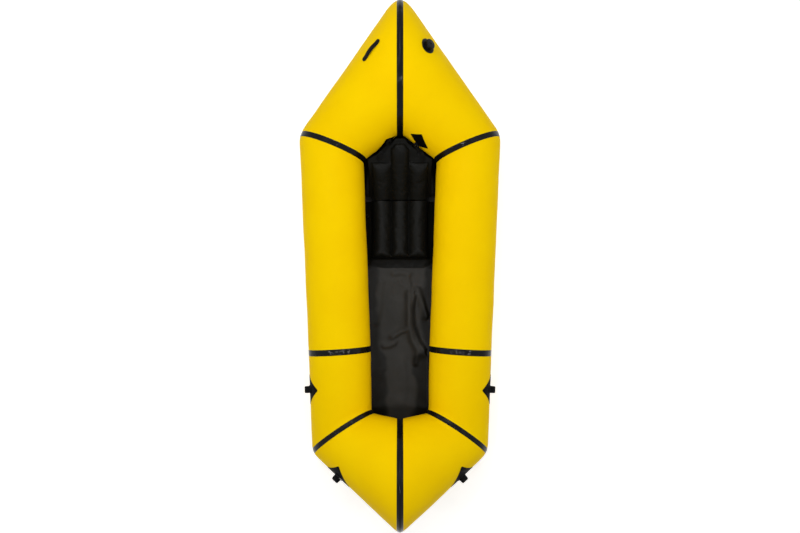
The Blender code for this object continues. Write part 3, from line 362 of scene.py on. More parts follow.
def new_material(name):
    return Nodes(bpy.data.materials.new(name))


def weave(n, coordinates, thread):
    """A plain weave's height in cloth coordinates of metres: over and under threads of this width."""
    parts = n.split(coordinates)
    turn = math.pi / thread
    across = n.math("SINE", n.math("MULTIPLY", parts[0], turn))
    along = n.math("SINE", n.math("MULTIPLY", parts[1], turn))
    return n.math("MULTIPLY", across, along)


def painted_shade_share(n, coordinates):
    """0 on the lighter middle of the floor and 1 beside the tubes, where shade is painted, with a
    wandering border between.
    """
    parts = n.split(coordinates)
    border = n.remap(parts[1], *SHADE_BORDER_WIDENS, SHADE_BORDER_NARROW, SHADE_BORDER_WIDE)
    waves = n.remap(n.noise(coordinates, 7.0, 2.0), 0.3, 0.7, -1.0, 1.0)
    wander = n.math("MULTIPLY", waves, SHADE_BORDER_WANDER)
    past = n.math("SUBTRACT", n.math("ABSOLUTE", parts[0]), n.math("ADD", border, wander))
    return n.remap(past, -0.012, 0.014, 0.0, 1.0)


def coated_fabric(
    name, colour, shade, roughness, thread, weave_depth, crease, gloss, rub=0.01, painted_side_shade=None
):
    """Coated nylon: a faint weave, slow changes of tone, rubbed patches, fine creases, and, when given,
    painted shade on the floor beside the tubes.
    """
    n = new_material(name)
    spot = n.coordinates()
    slow = n.noise(spot, 5.5, 3.0)
    fine = n.noise(spot, 90.0, 4.0, 0.6)
    tone = n.mix(n.remap(slow, 0.3, 0.7, 0.0, 1.0), shade, colour)
    rubbed = n.math("MULTIPLY", n.remap(fine, 0.52, 0.75, 0.0, 1.0), 0.25)
    tone = n.mix(rubbed, tone, tuple(0.92 * c + rub for c in colour))
    # Painted shade: a darker colour beside the tubes, where they shade the floor, with the lighter middle
    # standing for sheen
    if painted_side_shade:
        tone = n.mix(painted_shade_share(n, spot), tone, painted_side_shade)
    broad = n.remap(slow, 0.3, 0.7, roughness - 0.03, roughness + 0.03)
    rough = n.math("ADD", n.remap(fine, 0.3, 0.7, -0.05, 0.06), broad)
    normal = n.bump(weave(n, n.coordinates("UV"), thread), weave_depth, 0.6)
    folds = n.noise(spot, 26.0, 3.0, 0.55)
    normal = n.bump(folds, crease, 0.5, normal)
    return n.finish(tone, rough, normal, Specular_IOR_Level=gloss)


def glossy_tape(name):
    """Black welded tape: a wet gloss broken up by wrinkles left by the iron, with dull rubbed spots."""
    n = new_material(name)
    spot = n.coordinates()
    slow = n.noise(spot, 16.0, 2.0)
    wrinkle = n.noise(spot, 75.0, 3.0, 0.6)
    fine = n.noise(spot, 420.0, 2.0)
    dull = n.remap(fine, 0.5, 0.7, 0.0, 0.04)
    rough = n.math("ADD", n.remap(slow, 0.35, 0.65, 0.035, 0.06), dull)
    normal = n.bump(wrinkle, 0.0010, 0.5)
    normal = n.bump(fine, 0.0002, 0.3, normal)
    colour = n.mix(slow, (0.0035, 0.0035, 0.0035), (0.006, 0.006, 0.006))
    return n.finish(colour, rough, normal, Specular_IOR_Level=0.10)


def webbing(name, colour, rib=0.0016):
    """Woven webbing: ribs across the tape that step from thread to thread, and fuzz."""
    n = new_material(name)
    cloth = n.coordinates("UV")
    parts = n.split(cloth)
    along = n.math("MULTIPLY", parts[1], 2 * math.pi / rib)
    across = n.math("MULTIPLY", parts[0], 2 * math.pi / (2 * rib))
    zigzag = n.math("ABSOLUTE", n.math("SINE", across))
    herring = n.math("SINE", n.math("ADD", along, n.math("MULTIPLY", zigzag, 3.0)))
    fuzz = n.noise(n.coordinates(), 900.0, 2.0)
    shade = n.remap(herring, -1.0, 1.0, 0.0, 1.0)
    tone = n.mix(shade, tuple(0.45 * c for c in colour), tuple(1.6 * c for c in colour))
    normal = n.bump(herring, 0.0004, 0.9)
    normal = n.bump(fuzz, 0.0002, 0.5, normal)
    return n.finish(tone, n.remap(fuzz, 0.3, 0.7, 0.68, 0.88), normal, Specular_IOR_Level=0.12)


def moulded(name, colour, roughness, grain, depth, metallic=0.0, gloss=0.25):
    """Moulded plastic or rubber with a fine grain and scuffs."""
    n = new_material(name)
    spot = n.coordinates()
    fine = n.noise(spot, grain, 3.0, 0.6)
    scuff = n.noise(spot, 60.0, 5.0, 0.7)
    worn = n.remap(scuff, 0.55, 0.75, 0.0, 0.35)
    tone = n.mix(worn, colour, tuple(1.8 * c + 0.001 for c in colour))
    even = n.remap(fine, 0.3, 0.7, roughness - 0.05, roughness + 0.05)
    rough = n.math("ADD", even, n.math("MULTIPLY", worn, 0.3))
    bumps = n.bump(fine, depth, 0.5)
    return n.finish(tone, rough, bumps, Metallic=metallic, Specular_IOR_Level=gloss)


# A fabric's two colours are its main tone and a slow shade of it
YELLOW = coated_fabric(
    "yellow_coated_fabric", (0.95, 0.630, 0.0), (0.93, 0.600, 0.0),
    roughness=0.46, thread=0.00045, weave_depth=0.00005, crease=0.0008, gloss=0.012,
)
TAPE = glossy_tape("black_gloss_tape")
PATCH = coated_fabric(
    "black_patch_fabric", (0.0022, 0.0022, 0.0021), (0.0016, 0.0016, 0.0015),
    roughness=0.50, thread=0.0005, weave_depth=0.00005, crease=0.0006, gloss=0.02, rub=0.001,
)
# The floor's darker side colour is painted shade beside the tubes, and its lighter middle tone partly
# stands for overhead sheen
FLOOR = coated_fabric(
    "dark_floor_fabric", (0.0290, 0.0280, 0.0256), (0.0215, 0.0210, 0.0193),
    roughness=0.42, thread=0.0007, weave_depth=0.00010, crease=0.0022, gloss=0.12, rub=0.008,
    painted_side_shade=(0.0040, 0.0038, 0.0030),
)
SEAT = coated_fabric(
    "black_seat_fabric", (0.0046, 0.0048, 0.0042), (0.0036, 0.0037, 0.0032),
    roughness=0.40, thread=0.0005, weave_depth=0.00008, crease=0.0012, gloss=0.07, rub=0.004,
)
WEBBING = webbing("black_webbing", (0.003, 0.003, 0.003))
THREAD = webbing("black_thread", (0.014, 0.014, 0.014), rib=0.0004)
PLASTIC = moulded(
    "black_moulded_plastic", (0.0030, 0.0030, 0.0032),
    roughness=0.30, grain=1400.0, depth=0.00006, gloss=0.12,
)
RUBBER = moulded(
    "moulded_rubber", (0.0030, 0.0030, 0.0030), roughness=0.42, grain=700.0, depth=0.0001, gloss=0.10
)
SEAL = moulded("soft_seal_rubber", (0.028, 0.028, 0.028), roughness=0.62, grain=500.0, depth=0.0001)
STEEL = moulded(
    "spring_steel", (0.5, 0.5, 0.5), roughness=0.28, grain=300.0, depth=0.00002, metallic=1.0, gloss=0.5
)


# The air tube's shape


class Leg:
    """One straight, tapering length of the tube on the +X side, between two seams."""

    def __init__(self, first, second):
        (self.start, self.r0), (self.end, self.r1) = (
            (np.array((x, y, TUBE_GROUND + rise + r)), r) for x, y, rise, r in (first, second)
        )
        run = self.end - self.start
        self.length = np.linalg.norm(run)
        self.axis = run / self.length
        self.taper = (self.r1 - self.r0) / self.length
        self.cosine = math.sqrt(1 - self.taper**2)
        self.side = unit(np.cross(UP, self.axis))
        self.up = np.cross(self.axis, self.side)

    def spoke(self, angle):
        """Direction out from the axis. Angle 0 is the boat's outer side, and a quarter turn is up."""
        angle = np.asarray(angle, float)[..., None]
        return self.side * np.cos(angle) + self.up * np.sin(angle)

    def line(self, angle, lift=0.0):
        """Start and run of the skin's straight line at this angle."""
        spoke = self.spoke(angle)
        reach = (self.r0 + np.asarray(lift, float)[..., None]) / self.cosine
        return self.start + spoke * reach, self.axis + spoke * (self.taper / self.cosine)

    def meet(self, angle, plane, lift=0.0):
        """Where the skin's line at this angle crosses a plane."""
        start, run = self.line(angle, lift)
        point, normal = plane
        reach = ((point - start) @ normal) / (run @ normal)
        return start + run * reach[..., None]

    def normal(self, angle):
        return self.spoke(angle) * self.cosine - self.axis * self.taper

    def surface(self, along, angle, side):
        """Origin, run to the bow, way round and outward normal of a place on the skin."""
        start, run = self.line(angle)
        x = unit(sided(run, side))
        y = unit(np.cross(sided(self.normal(angle), side), x))
        return sided(start + run * along, side), x, y, np.cross(x, y)


LEGS = [Leg(a, b) for a, b in zip(STATIONS, STATIONS[1:])]
STERN_LEG, BOW_SIDE_LEG, BOW_LEG = 0, 2, 3


def seam_plane(before, after):
    """A point and the normal of the plane where two legs' skins meet."""
    normal = before.axis / before.cosine + after.axis / after.cosine
    shift = before.r1 * (before.taper / before.cosine + after.taper / after.cosine)
    return after.start - normal * (shift / (normal @ normal)), unit(normal)


# Each seam's plane, with the mirror plane at both tips
SEAMS = [(np.zeros(3), ACROSS)]
SEAMS += [seam_plane(a, b) for a, b in zip(LEGS, LEGS[1:])]
SEAMS += [(np.zeros(3), -ACROSS)]

# How far a seam's rounding reaches on the boat's outer side, on the tube's crest and in the cockpit
OUTER_ROUND, CREST_ROUND, INNER_ROUND = 0.038, 0.050, 0.016
# The seams lean to the stern at the tube's crest by this much more than a mitre, and the middle one
# in the cockpit too
SEAM_LEANS = {1: 0.021, 2: 0.009, 3: 0.006}
SEAM_TURNS = {2: 0.008}
TABLE = np.linspace(0, 1, 721)


def carried(k, u):
    """Angle on leg k of the skin line that is a share u of the way round the first leg."""
    angle = np.asarray(u, float) * 2 * math.pi
    for j in range(1, k + 1):
        spoke = LEGS[j - 1].meet(angle, SEAMS[j]) - LEGS[j].start
        angle = np.arctan2(spoke @ LEGS[j].up, spoke @ LEGS[j].side)
    return angle


ANGLE_TABLES = [np.unwrap(carried(k, TABLE)) for k in range(4)]


def share_of(k, angle):
    """The share u round the first leg of an angle on leg k."""
    table = ANGLE_TABLES[k]
    angle = np.asarray(angle, float)
    angle = table[0] + np.mod(angle - table[0], 2 * math.pi)
    return np.interp(angle, table, TABLE)


def line_length(k, u, lift=0.0):
    """Length of leg k's skin line between its two mitres."""
    first, last = (LEGS[k].meet(carried(k, u), SEAMS[s], lift) for s in (k, k + 1))
    return np.linalg.norm(last - first, axis=-1)


def seam_lean(seam, u):
    """How far the seam lies from its mitre, along the tube toward the bow."""
    if seam not in SEAM_LEANS:
        return np.zeros(np.shape(u))
    angle = carried(seam, u)
    inward = (1 - np.cos(angle)) / 2
    return -SEAM_LEANS[seam] * np.sin(angle) - SEAM_TURNS.get(seam, 0) * inward


def round_reach(angle):
    """How far from the seam its rounding reaches at this angle."""
    outer = 0.5 + 0.5 * np.cos(angle)
    crest = np.abs(np.sin(angle))
    side = INNER_ROUND + (OUTER_ROUND - INNER_ROUND) * outer
    return side + (CREST_ROUND - side) * crest**2


class Puckers:
    """Short creases that start at a seam and fade along the tube, at random places round it."""

    def __init__(self, seed, count, height, inner):
        rng = np.random.default_rng(seed)
        middle = rng.uniform(0, 1, count)
        width = rng.uniform(0.006, 0.012, count)
        reach = rng.uniform(0.018, 0.07, count)
        depth = rng.uniform(0.3, 1.0, count) * height
        lean = rng.normal(0, 0.12, count)
        # Deeper on the inner side of the bend, about u = 0.5
        inward = 0.5 - 0.5 * np.cos(middle * 2 * math.pi)
        depth *= (1 - inner) + inner * inward**2
        self.creases = list(zip(middle, width, reach, depth, lean))

    def __call__(self, u, distance, girth):
        total = np.zeros(np.broadcast(u, distance).shape)
        past = np.clip(distance - TAPE_WIDTH / 2, 0, None)
        for middle, width, reach, depth, lean in self.creases:
            off = (np.mod(u - middle + 0.5, 1) - 0.5) * girth - lean * past
            total -= depth * np.exp(-((off / width) ** 2)) * np.clip(1 - past / reach, 0, 1) ** 2
        return total


# Each seam's deepest pucker, and the share of it that is gone on the bend's outer side
SEAM_PUCKERS = (0.0007, 0.5), (0.0010, 0.7), (0.0006, 0.1), (0.0010, 0.7), (0.0007, 0.5)
PUCKER_COUNT = 46
PUCKERS = {
    (seam, side): Puckers(40 + 3 * seam + side, PUCKER_COUNT, height, inner)
    for seam, (height, inner) in enumerate(SEAM_PUCKERS)
    for side in (-1, 1)
}
SWELL = Waves(0.21, 5)
RIPPLE = Waves(0.06, 6)


def relief(k, u, points, side):
    """Height of the skin's wrinkles over the plain cone."""
    girth = 2 * math.pi * (LEGS[k].r0 + LEGS[k].r1) / 2
    near, far = (np.abs((points - SEAMS[s][0]) @ SEAMS[s][1] - seam_lean(s, u)) for s in (k, k + 1))
    clear = smooth(np.minimum(near, far), TAPE_WIDTH / 2 - 0.001, TAPE_WIDTH / 2 + 0.014)
    own = sided(points, side)
    slow = 0.0007 * SWELL(own) + 0.00018 * RIPPLE(own)
    creases = PUCKERS[(k, side)](u, near, girth) + PUCKERS[(k + 1, side)](u, far, girth)
    return clear * (slow + creases)


def skin(k, u, near, side, lift=0.0, plain=False):
    """Points of the tube's skin on leg k: u round it, near metres along each line from its first mitre."""
    leg = LEGS[k]
    angle = carried(k, u)
    first = leg.meet(angle, SEAMS[k], lift)
    last = leg.meet(angle, SEAMS[k + 1], lift)
    length = np.linalg.norm(last - first, axis=-1)
    far = length - near
    points = first + (last - first) * (near / length)[..., None]
    if not plain:
        points = points + leg.normal(angle) * relief(k, u, points, side)[..., None]
    reach = round_reach(angle)
    for seam, distance in ((k, near), (k + 1, far)):
        if 0 < seam < len(LEGS):
            before = unit(LEGS[seam - 1].line(carried(seam - 1, u))[1])
            after = unit(LEGS[seam].line(carried(seam, u))[1])
            pull = reach / 4 * np.clip(1 - np.abs(distance) / reach, 0, 1) ** 2
            points = points + (after - before) * pull[..., None]
    blunt = TIP_ROUNDS.get(k)
    if blunt:
        run = leg.line(np.zeros(1))[1][0]
        depth = abs(run[1] / run[0]) * blunt / 2
        outer = np.clip(np.cos(angle), 0, None)
        pull = depth * np.clip(1 - np.abs(points[..., 0]) / blunt, 0, 1) ** 2 * outer
        points = points.copy()
        points[..., 1] -= np.sign(points[..., 1]) * pull
    return sided(points, side)


def ring(k, u, near, side, lift=0.0, plain=False):
    """As skin, but a place beyond either mitre of leg k runs on over the leg next to it."""
    near = np.broadcast_to(near, np.shape(u)).astype(float)
    length = line_length(k, u, lift)
    points = skin(k, u, np.clip(near, 0, length), side, lift, plain)
    if k > 0 and (near < 0).any():
        back = skin(k - 1, u, line_length(k - 1, u, lift) + np.minimum(near, 0), side, lift, plain)
        points = np.where((near < 0)[..., None], back, points)
    if k < len(LEGS) - 1 and (near > length).any():
        ahead = skin(k + 1, u, np.maximum(near - length, 0), side, lift, plain)
        points = np.where((near > length)[..., None], ahead, points)
    return points


def at(k, along, angle, side, lift=0.0):
    """Skin points from a place on the leg's own lines: along metres from its start section."""
    leg = LEGS[k]
    u = share_of(k, angle)
    start, run = leg.line(carried(k, u))
    first = leg.meet(carried(k, u), SEAMS[k])
    past = start + run * np.asarray(along)[..., None] - first
    offset = past @ leg.axis * np.linalg.norm(run, axis=-1)
    return skin(k, u, offset, side, lift)


# Each leg's name, and how many rows its panels' meshes have
PANELS = (("stern", 78), ("side", 120), ("bow_side", 64), ("bow", 78))
TUBE_COLUMNS = 168
SKIN_WALL = 0.0005


def panel_rows(count):
    """Shares along a panel, closer near its seams and at a rounded tip."""
    t = 0.5 - 0.5 * np.cos(np.linspace(0, math.pi, count))
    return 0.55 * t + 0.45 * np.linspace(0, 1, count)


def tube_panels():
    """The skins of the panels, each from its first seam's line to the next one's."""
    u = np.arange(TUBE_COLUMNS) / TUBE_COLUMNS
    for k, (leg, count) in enumerate(PANELS):
        grid_u, grid_t = np.meshgrid(u, panel_rows(count))
        start, end = seam_lean(k, u), line_length(k, u) + seam_lean(k + 1, u)
        girth = 2 * math.pi * LEGS[k].r0
        uvs = np.stack((grid_u * girth, grid_t * LEGS[k].length), -1)
        for side, word in SIDES:
            node = f"{leg}_tube_{word}"
            points = ring(k, grid_u, start + (end - start) * grid_t, side)
            obj = grid_object(f"{node}_skin", points, YELLOW, uvs)
            solidified(facing_out(obj), SKIN_WALL)
            place(obj, "hull", "tube_fabric", node)


# Seam tapes

WRINKLE = Waves(0.012, 8, 20)
WRINKLE_SLOW = Waves(0.035, 9)
TAPE_COLUMNS = 420
TAPE_ROUND = np.arange(TAPE_COLUMNS) / TAPE_COLUMNS
TAPE_ROWS = TAPE_WIDTH / 2 * np.array((-1, -0.94, -0.8, -0.55, -0.28, 0, 0.28, 0.55, 0.8, 0.94, 1))
TAPE_EDGE = 0.0022
TAPE_BODY = 0.0005
TAPE_OVER_HOLLOW = 0.0010
TAPE_LEAST = 0.00025


def tape_lift(offset, points, hollow=0.0):
    """Height of a tape over the skin: thin at its edges, wrinkled between, fuller over a hollow mitre."""
    body = smooth(TAPE_WIDTH / 2 - np.abs(offset), 0, TAPE_EDGE)
    rough = 0.00009 * WRINKLE(points) + 0.00014 * WRINKLE_SLOW(points)
    full = TAPE_BODY + TAPE_OVER_HOLLOW * hollow + rough
    return np.maximum(TAPE_WALL + body * full, TAPE_LEAST)


def mitre_row(seam, side, offset):
    """One line of points round a tape between two legs."""
    near = seam_lean(seam, TAPE_ROUND) + offset
    hollow = smooth(-np.cos(carried(seam, TAPE_ROUND)), -0.3, 0.4)
    base = ring(seam, TAPE_ROUND, near, side, plain=True)
    return ring(seam, TAPE_ROUND, near, side, tape_lift(offset, base, hollow), plain=True)


def tip_row(k, offset):
    """One line of points round the tape at a tip. The sign of its offset is the side of the boat."""
    side = -1 if offset < 0 else 1
    angle = carried(k, TAPE_ROUND)
    beside = LEGS[k].meet(angle, (ACROSS * abs(offset), ACROSS))
    tip = LEGS[k].meet(angle, SEAMS[0 if k == STERN_LEG else -1])
    near = np.linalg.norm(beside - tip, axis=-1)
    if k == BOW_LEG:
        near = line_length(k, TAPE_ROUND) - near
    base = skin(k, TAPE_ROUND, near, side, plain=True)
    return skin(k, TAPE_ROUND, near, side, tape_lift(offset, base), plain=True)


def band(node, rows):
    """A tape's piece from its lines of points."""
    uvs = np.meshgrid(TAPE_ROUND, np.linspace(0, TAPE_WIDTH, len(rows)))
    obj = grid_object(f"{node}_band", np.array(rows), TAPE, np.stack(uvs, -1))
    place(outward(solidified(facing_out(obj), TAPE_WALL)), "hull", "seam_tape", node)


def seam_tapes():
    for seam, name in ((1, "stern_corner_tape"), (2, "mid_tape"), (3, "bow_corner_tape")):
        for side, word in SIDES:
            band(f"{name}_{word}", [mitre_row(seam, side, offset) for offset in TAPE_ROWS])
    for k, name in ((STERN_LEG, "stern_centre_tape"), (BOW_LEG, "bow_centre_tape")):
        band(name, [tip_row(k, offset) for offset in TAPE_ROWS])


# The floor

# Folds of the floor, read off the photograph: a line's points, the half widths of its steep
# and its gentle side, and its height. The steep side is on the left of the line's run.
FLOOR_FOLDS = (
    (((0.060, -0.138), (0.050, -0.200), (0.054, -0.270), (0.080, -0.335), (0.104, -0.372)),
     0.010, 0.040, 0.016),
    (((0.078, -0.110), (0.094, -0.160), (0.114, -0.225)), 0.012, 0.022, 0.012),
    (((0.036, -0.130), (0.038, -0.260), (0.052, -0.330), (0.076, -0.375), (0.066, -0.430)),
     0.014, 0.012, 0.008),
    (((0.026, -0.288), (0.000, -0.298), (-0.030, -0.320)), 0.006, 0.018, 0.009),
    (((-0.020, -0.345), (-0.045, -0.358), (-0.070, -0.360)), 0.006, 0.016, 0.007),
    (((0.038, -0.048), (0.008, -0.038), (-0.028, -0.044)), 0.008, 0.018, 0.0055),
    (((0.000, -0.070), (0.004, -0.082), (0.018, -0.092)), 0.006, 0.012, 0.004),
    (((0.036, -0.060), (0.044, -0.090), (0.040, -0.118)), 0.007, 0.014, 0.004),
    (((-0.080, -0.080), (-0.086, -0.160), (-0.100, -0.250)), 0.016, 0.026, 0.006),
    (((-0.030, -0.080), (-0.046, -0.110), (-0.040, -0.150)), 0.012, 0.022, 0.0030),
    (((-0.010, -0.160), (-0.020, -0.240)), 0.014, 0.024, 0.0030),
    (((0.010, -0.410), (0.022, -0.500), (0.014, -0.600)), 0.018, 0.030, 0.0030),
)
# Where the floor starts to rise toward each side tube: place along the boat, and half breadth
RISE_BESIDE_SEAT = (0, 0.108), (0.30, 0.100), (0.5, 0.07)
RISE_LEFT = (
    (-0.72, 0.074), (-0.640, 0.074), (-0.5475, 0.072), (-0.456, 0.062),
    (-0.370, 0.088), (-0.269, 0.096), (-0.156, 0.100), *RISE_BESIDE_SEAT,
)
RISE_RIGHT = (
    (-0.72, 0.062), (-0.640, 0.062), (-0.460, 0.059), (-0.385, 0.068),
    (-0.345, 0.092), (-0.200, 0.108), (-0.091, 0.106), *RISE_BESIDE_SEAT,
)
RISE_SLOPE = 0.42
RISE_BEND = 0.012
RISE_MOST = 0.024
UNDER_TUBE = 0.128, 0.182
# Stretches along the boat: where the folds are, where the sides are slack, and where the seat presses
FOLDED = (-0.66, -0.60), (-0.040, -0.005)
SLACK = (-0.70, -0.62), (0.36, 0.46)
UNDER_SEAT = (-0.03, 0.0), (0.285, 0.31)
FOLDS_HALF_BREADTH = 0.150
FOLDS_FADE = 0.035
FLOOR_SLOW = Waves(0.16, 11)
FLOOR_FINE = Waves(0.045, 12)
# Rows of the floor's mesh on each leg, and its columns on one side: round the tube, and to the middle
FLOOR_ROWS = 40, 150, 64, 42
WRAP_COLUMNS, FLAT_COLUMNS = 9, 66
# The share round a leg where its skin lies lowest
KEEL = 0.75


def fold_height(x, y, line, steep, gentle, height):
    """Height of one fold: a ridge along a bent line, steeper on its left side."""
    best = np.full(x.shape, 1e9)
    side = np.zeros(x.shape)
    past_end = np.zeros(x.shape)
    for i, ((x0, y0), (x1, y1)) in enumerate(zip(line, line[1:])):
        run = np.array((x1 - x0, y1 - y0))
        length = np.hypot(*run)
        t = ((x - x0) * run[0] + (y - y0) * run[1]) / length**2
        near = np.clip(t, 0, 1)
        off = np.hypot(x - x0 - near * run[0], y - y0 - near * run[1])
        turn = run[0] * (y - y0) - run[1] * (x - x0)
        last = i == len(line) - 2
        beyond = np.where((t < 0) & (i == 0), -t, np.where((t > 1) & last, t - 1, 0)) * length
        closer = off < best
        best = np.where(closer, off, best)
        side = np.where(closer, np.sign(turn), side)
        past_end = np.where(closer, beyond, past_end)
    width = np.where(side > 0, steep, gentle)
    return height * np.exp(-((best / width) ** 2)) * np.exp(-((past_end / gentle) ** 2))


def side_rise(x, y):
    """Slack cloth beside the tubes: it climbs from a wandering line and comes down under the tube."""
    start = np.where(x < 0, np.interp(y, *zip(*RISE_LEFT)), np.interp(y, *zip(*RISE_RIGHT)))
    past = np.clip((np.abs(x) - start) / RISE_BEND, -40, 40)
    climb = RISE_SLOPE * RISE_BEND * np.log1p(np.exp(past))
    down = 1 - smooth(np.abs(x), *UNDER_TUBE)
    return np.minimum(climb, RISE_MOST) * down


def floor_height(x, y):
    """How far the floor's folds lift off the ground."""
    points = np.stack((x, y, np.zeros_like(x)), -1)
    total = 0.0010 * (FLOOR_SLOW(points) + 0.8) + 0.0004 * (FLOOR_FINE(points) + 0.8)
    for fold in FLOOR_FOLDS:
        total += fold_height(x, y, *fold)
    folds = np.clip(total, 0, None) * between(y, *FOLDED)
    folds = folds * smooth(FOLDS_HALF_BREADTH - np.abs(x), 0.0, FOLDS_FADE)
    slack = between(y, *SLACK) * (1 - between(y, *UNDER_SEAT))
    return folds + side_rise(x, y) * slack


def floor_sheet():
    """One sheet, level between the tubes and wrapped up their undersides on both sides."""
    wrap = np.linspace(KEEL + FLOOR_WRAP_FACETS / TUBE_FACETS, KEEL, WRAP_COLUMNS)
    inward = np.linspace(0, 1, FLAT_COLUMNS)[1:, None]
    rows = []
    for k, count in enumerate(FLOOR_ROWS):
        shares = np.linspace(0, 1, count + 1)
        # A row where two legs meet belongs to the next leg
        for t in shares if k == BOW_LEG else shares[:-1]:
            edge = skin(k, wrap, t * line_length(k, wrap, FLOOR_LIFT), 1, FLOOR_LIFT, plain=True)
            inner = edge[-1]
            middle = np.array((0, inner[1], inner[2]))
            rows.append(np.concatenate((edge, inner + (middle - inner) * inward)))
    half = np.array(rows)
    grid = np.concatenate((half, sided(half[:, ::-1], -1)[:, 1:]), 1)
    x, y = grid[..., 0], grid[..., 1]
    grid[..., 2] = np.maximum(grid[..., 2], 0) + floor_height(x, y)
    obj = grid_object("floor_sheet_cloth", grid, FLOOR, np.stack((x, y), -1), wrap=False)
    outward(solidified(obj, FLOOR_WALL, 1.0))
    low = min(v.co.z for v in obj.data.vertices)
    if low < 0:
        obj.data.transform(Matrix.Translation((0, 0, -low)))
    place(obj, "hull", "floor_fabric", "floor_sheet")


# Patches, straps and loops

# Shares of a patch's outline from its middle to its rim, and the share of its wall at each of them
PATCH_SHARES = np.array((0, 0.2, 0.4, 0.58, 0.72, 0.82, 0.88, 0.92, 0.955, 0.985, 1.0))
PATCH_RIM = 0.45
PATCH_LIFTS = np.array((1, 1, 1, 1, 1, 1, 0.72, 0.72, 1, 0.9, PATCH_RIM))
PATCH_WALL = 0.0008
PATCH_HALF_LENGTH = 0.0630
PATCH_HALF_BREADTH = 0.0850
PATCH_CORNER = 0.006
PATCH_ROUGH = 0.00012
OUTLINE_STEP = 0.004
# The tie-downs' patches and loops: leg, place along it, angle round it, and skew
TIE_DOWNS = (
    ("side_tie_down", BOW_SIDE_LEG, 0.1500, math.radians(11), 0.0080),
    ("bow_tie_down", BOW_LEG, 0.0730, math.radians(29.5), -0.0080),
)
LOOP_WIDTH = 0.0250
LOOP_WEBBING = 0.0015
LOOP_FOOT = 0.0160
LOOP_HEIGHT = 0.0190
LOOP_SPAN = 0.0220
LOOP_STEP = 0.0015
LASH_ALONG = 0.0160
LASH_ANGLE = math.radians(53.5)
LASH_LENGTH = 0.1000
LASH_WIDTH = 0.0210
LASH_WALL = 0.0022
LASH_FOOT = 0.0180
LASH_ARCH = 0.0045
LASH_BLUNT = 0.0003
# The anchors of the backrest straps: side, place along the stern's leg, and angle round it
ANCHORS = (("right", 1, 0.2342, math.radians(157)), ("left", -1, 0.2280, math.radians(178)))
ANCHOR_HALF_LENGTH = 0.0470
ANCHOR_HALF_BREADTH = 0.0430
ANCHOR_SKEW = 0.0150
ANCHOR_TURN = 0.0030
ANCHOR_CORNER = 0.005
# Webbing's section from edge to edge: shares of its half width and of its half wall
STRAP_TOP = [
    (-1, 0), (-0.985, 0.7), (-0.93, 1), (-0.5, 1.12), (0, 1.12), (0.5, 1.12), (0.93, 1), (0.985, 0.7)
]
STRAP_SECTION = STRAP_TOP + [(-a, -b) for a, b in STRAP_TOP]
STRAP_SHARP = math.radians(50)
# A stitch: the share of its step where thread shows, and rings of share along it, rise and thickness
STITCH_SHOWN = 0.72
STITCH_RADIUS = 0.00028
STITCH_SIDES = 6
# The rows' places on a loop's foot, how high they lie on its webbing, and how far they reach across it
STITCH_PLACES = 0.35, 0.95
STITCH_OVER = 0.56
STITCH_REACH = 0.42
STITCH_RINGS = (
    (0, -0.0001, 0.4), (0.2, 0.00018, 0.9), (0.5, 0.00026, 1.0), (0.8, 0.00018, 0.9), (1, -0.0001, 0.4)
)


def rounded_outline(corners, radius, steps=6):
    """A polygon's outline with rounded corners, as points in its plane."""
    found = []
    count = len(corners)
    for i in range(count):
        before, here, after = (np.array(corners[(i + j) % count], float) for j in (-1, 0, 1))
        to_before, to_after = unit(before - here), unit(after - here)
        half = math.acos(float(np.clip(to_before @ to_after, -1, 1))) / 2
        most = 0.45 * min(np.linalg.norm(before - here), np.linalg.norm(after - here))
        reach = min(radius / math.tan(half), most)
        a, b = here + to_before * reach, here + to_after * reach
        for j in range(steps + 1):
            t = j / steps
            found.append(a * (1 - t) ** 2 + here * 2 * t * (1 - t) + b * t**2)
    # Long edges get points of their own, so that the outline follows the tube
    fine = []
    for a, b in zip(found, found[1:] + found[:1]):
        parts = max(1, int(np.linalg.norm(b - a) / OUTLINE_STEP))
        fine += [a + (b - a) * j / parts for j in range(parts)]
    return np.array(fine)


def merged_out(bm):
    """Joins doubled vertices, and turns the faces to one side."""
    bmesh.ops.remove_doubles(bm, verts=bm.verts, dist=1e-6)
    bmesh.ops.recalc_face_normals(bm, faces=bm.faces)


def patch(node, k, side, along, angle, corners, radius):
    """A welded patch: a thin rim, a pressed line inside its edge, and a skin that follows the tube."""
    outline = rounded_outline(corners, radius)
    leg = LEGS[k]
    girth = (leg.r0 + leg.taper * along) / leg.cosine
    rows = []
    for share, lift in zip(PATCH_SHARES, PATCH_LIFTS * PATCH_WALL):
        local = outline * share
        spot = k, along + local[:, 0], angle + local[:, 1] / girth, side
        rough = PATCH_ROUGH * WRINKLE_SLOW(at(*spot))
        rows.append(at(*spot, FIT + lift + rough * (share < 0.9)))
    uvs = np.array([outline * share for share in PATCH_SHARES])
    obj = reworked(grid_object(f"{node}_skin", np.array(rows), PATCH, uvs), merged_out)
    probe = obj.data.polygons[len(obj.data.polygons) // 2]
    if np.array(probe.normal) @ leg.surface(along, angle, side)[3] < 0:
        obj.data.flip_normals()
    solidified(obj, PATCH_WALL * PATCH_RIM)
    place(obj, "hull", "seam_tape", node)


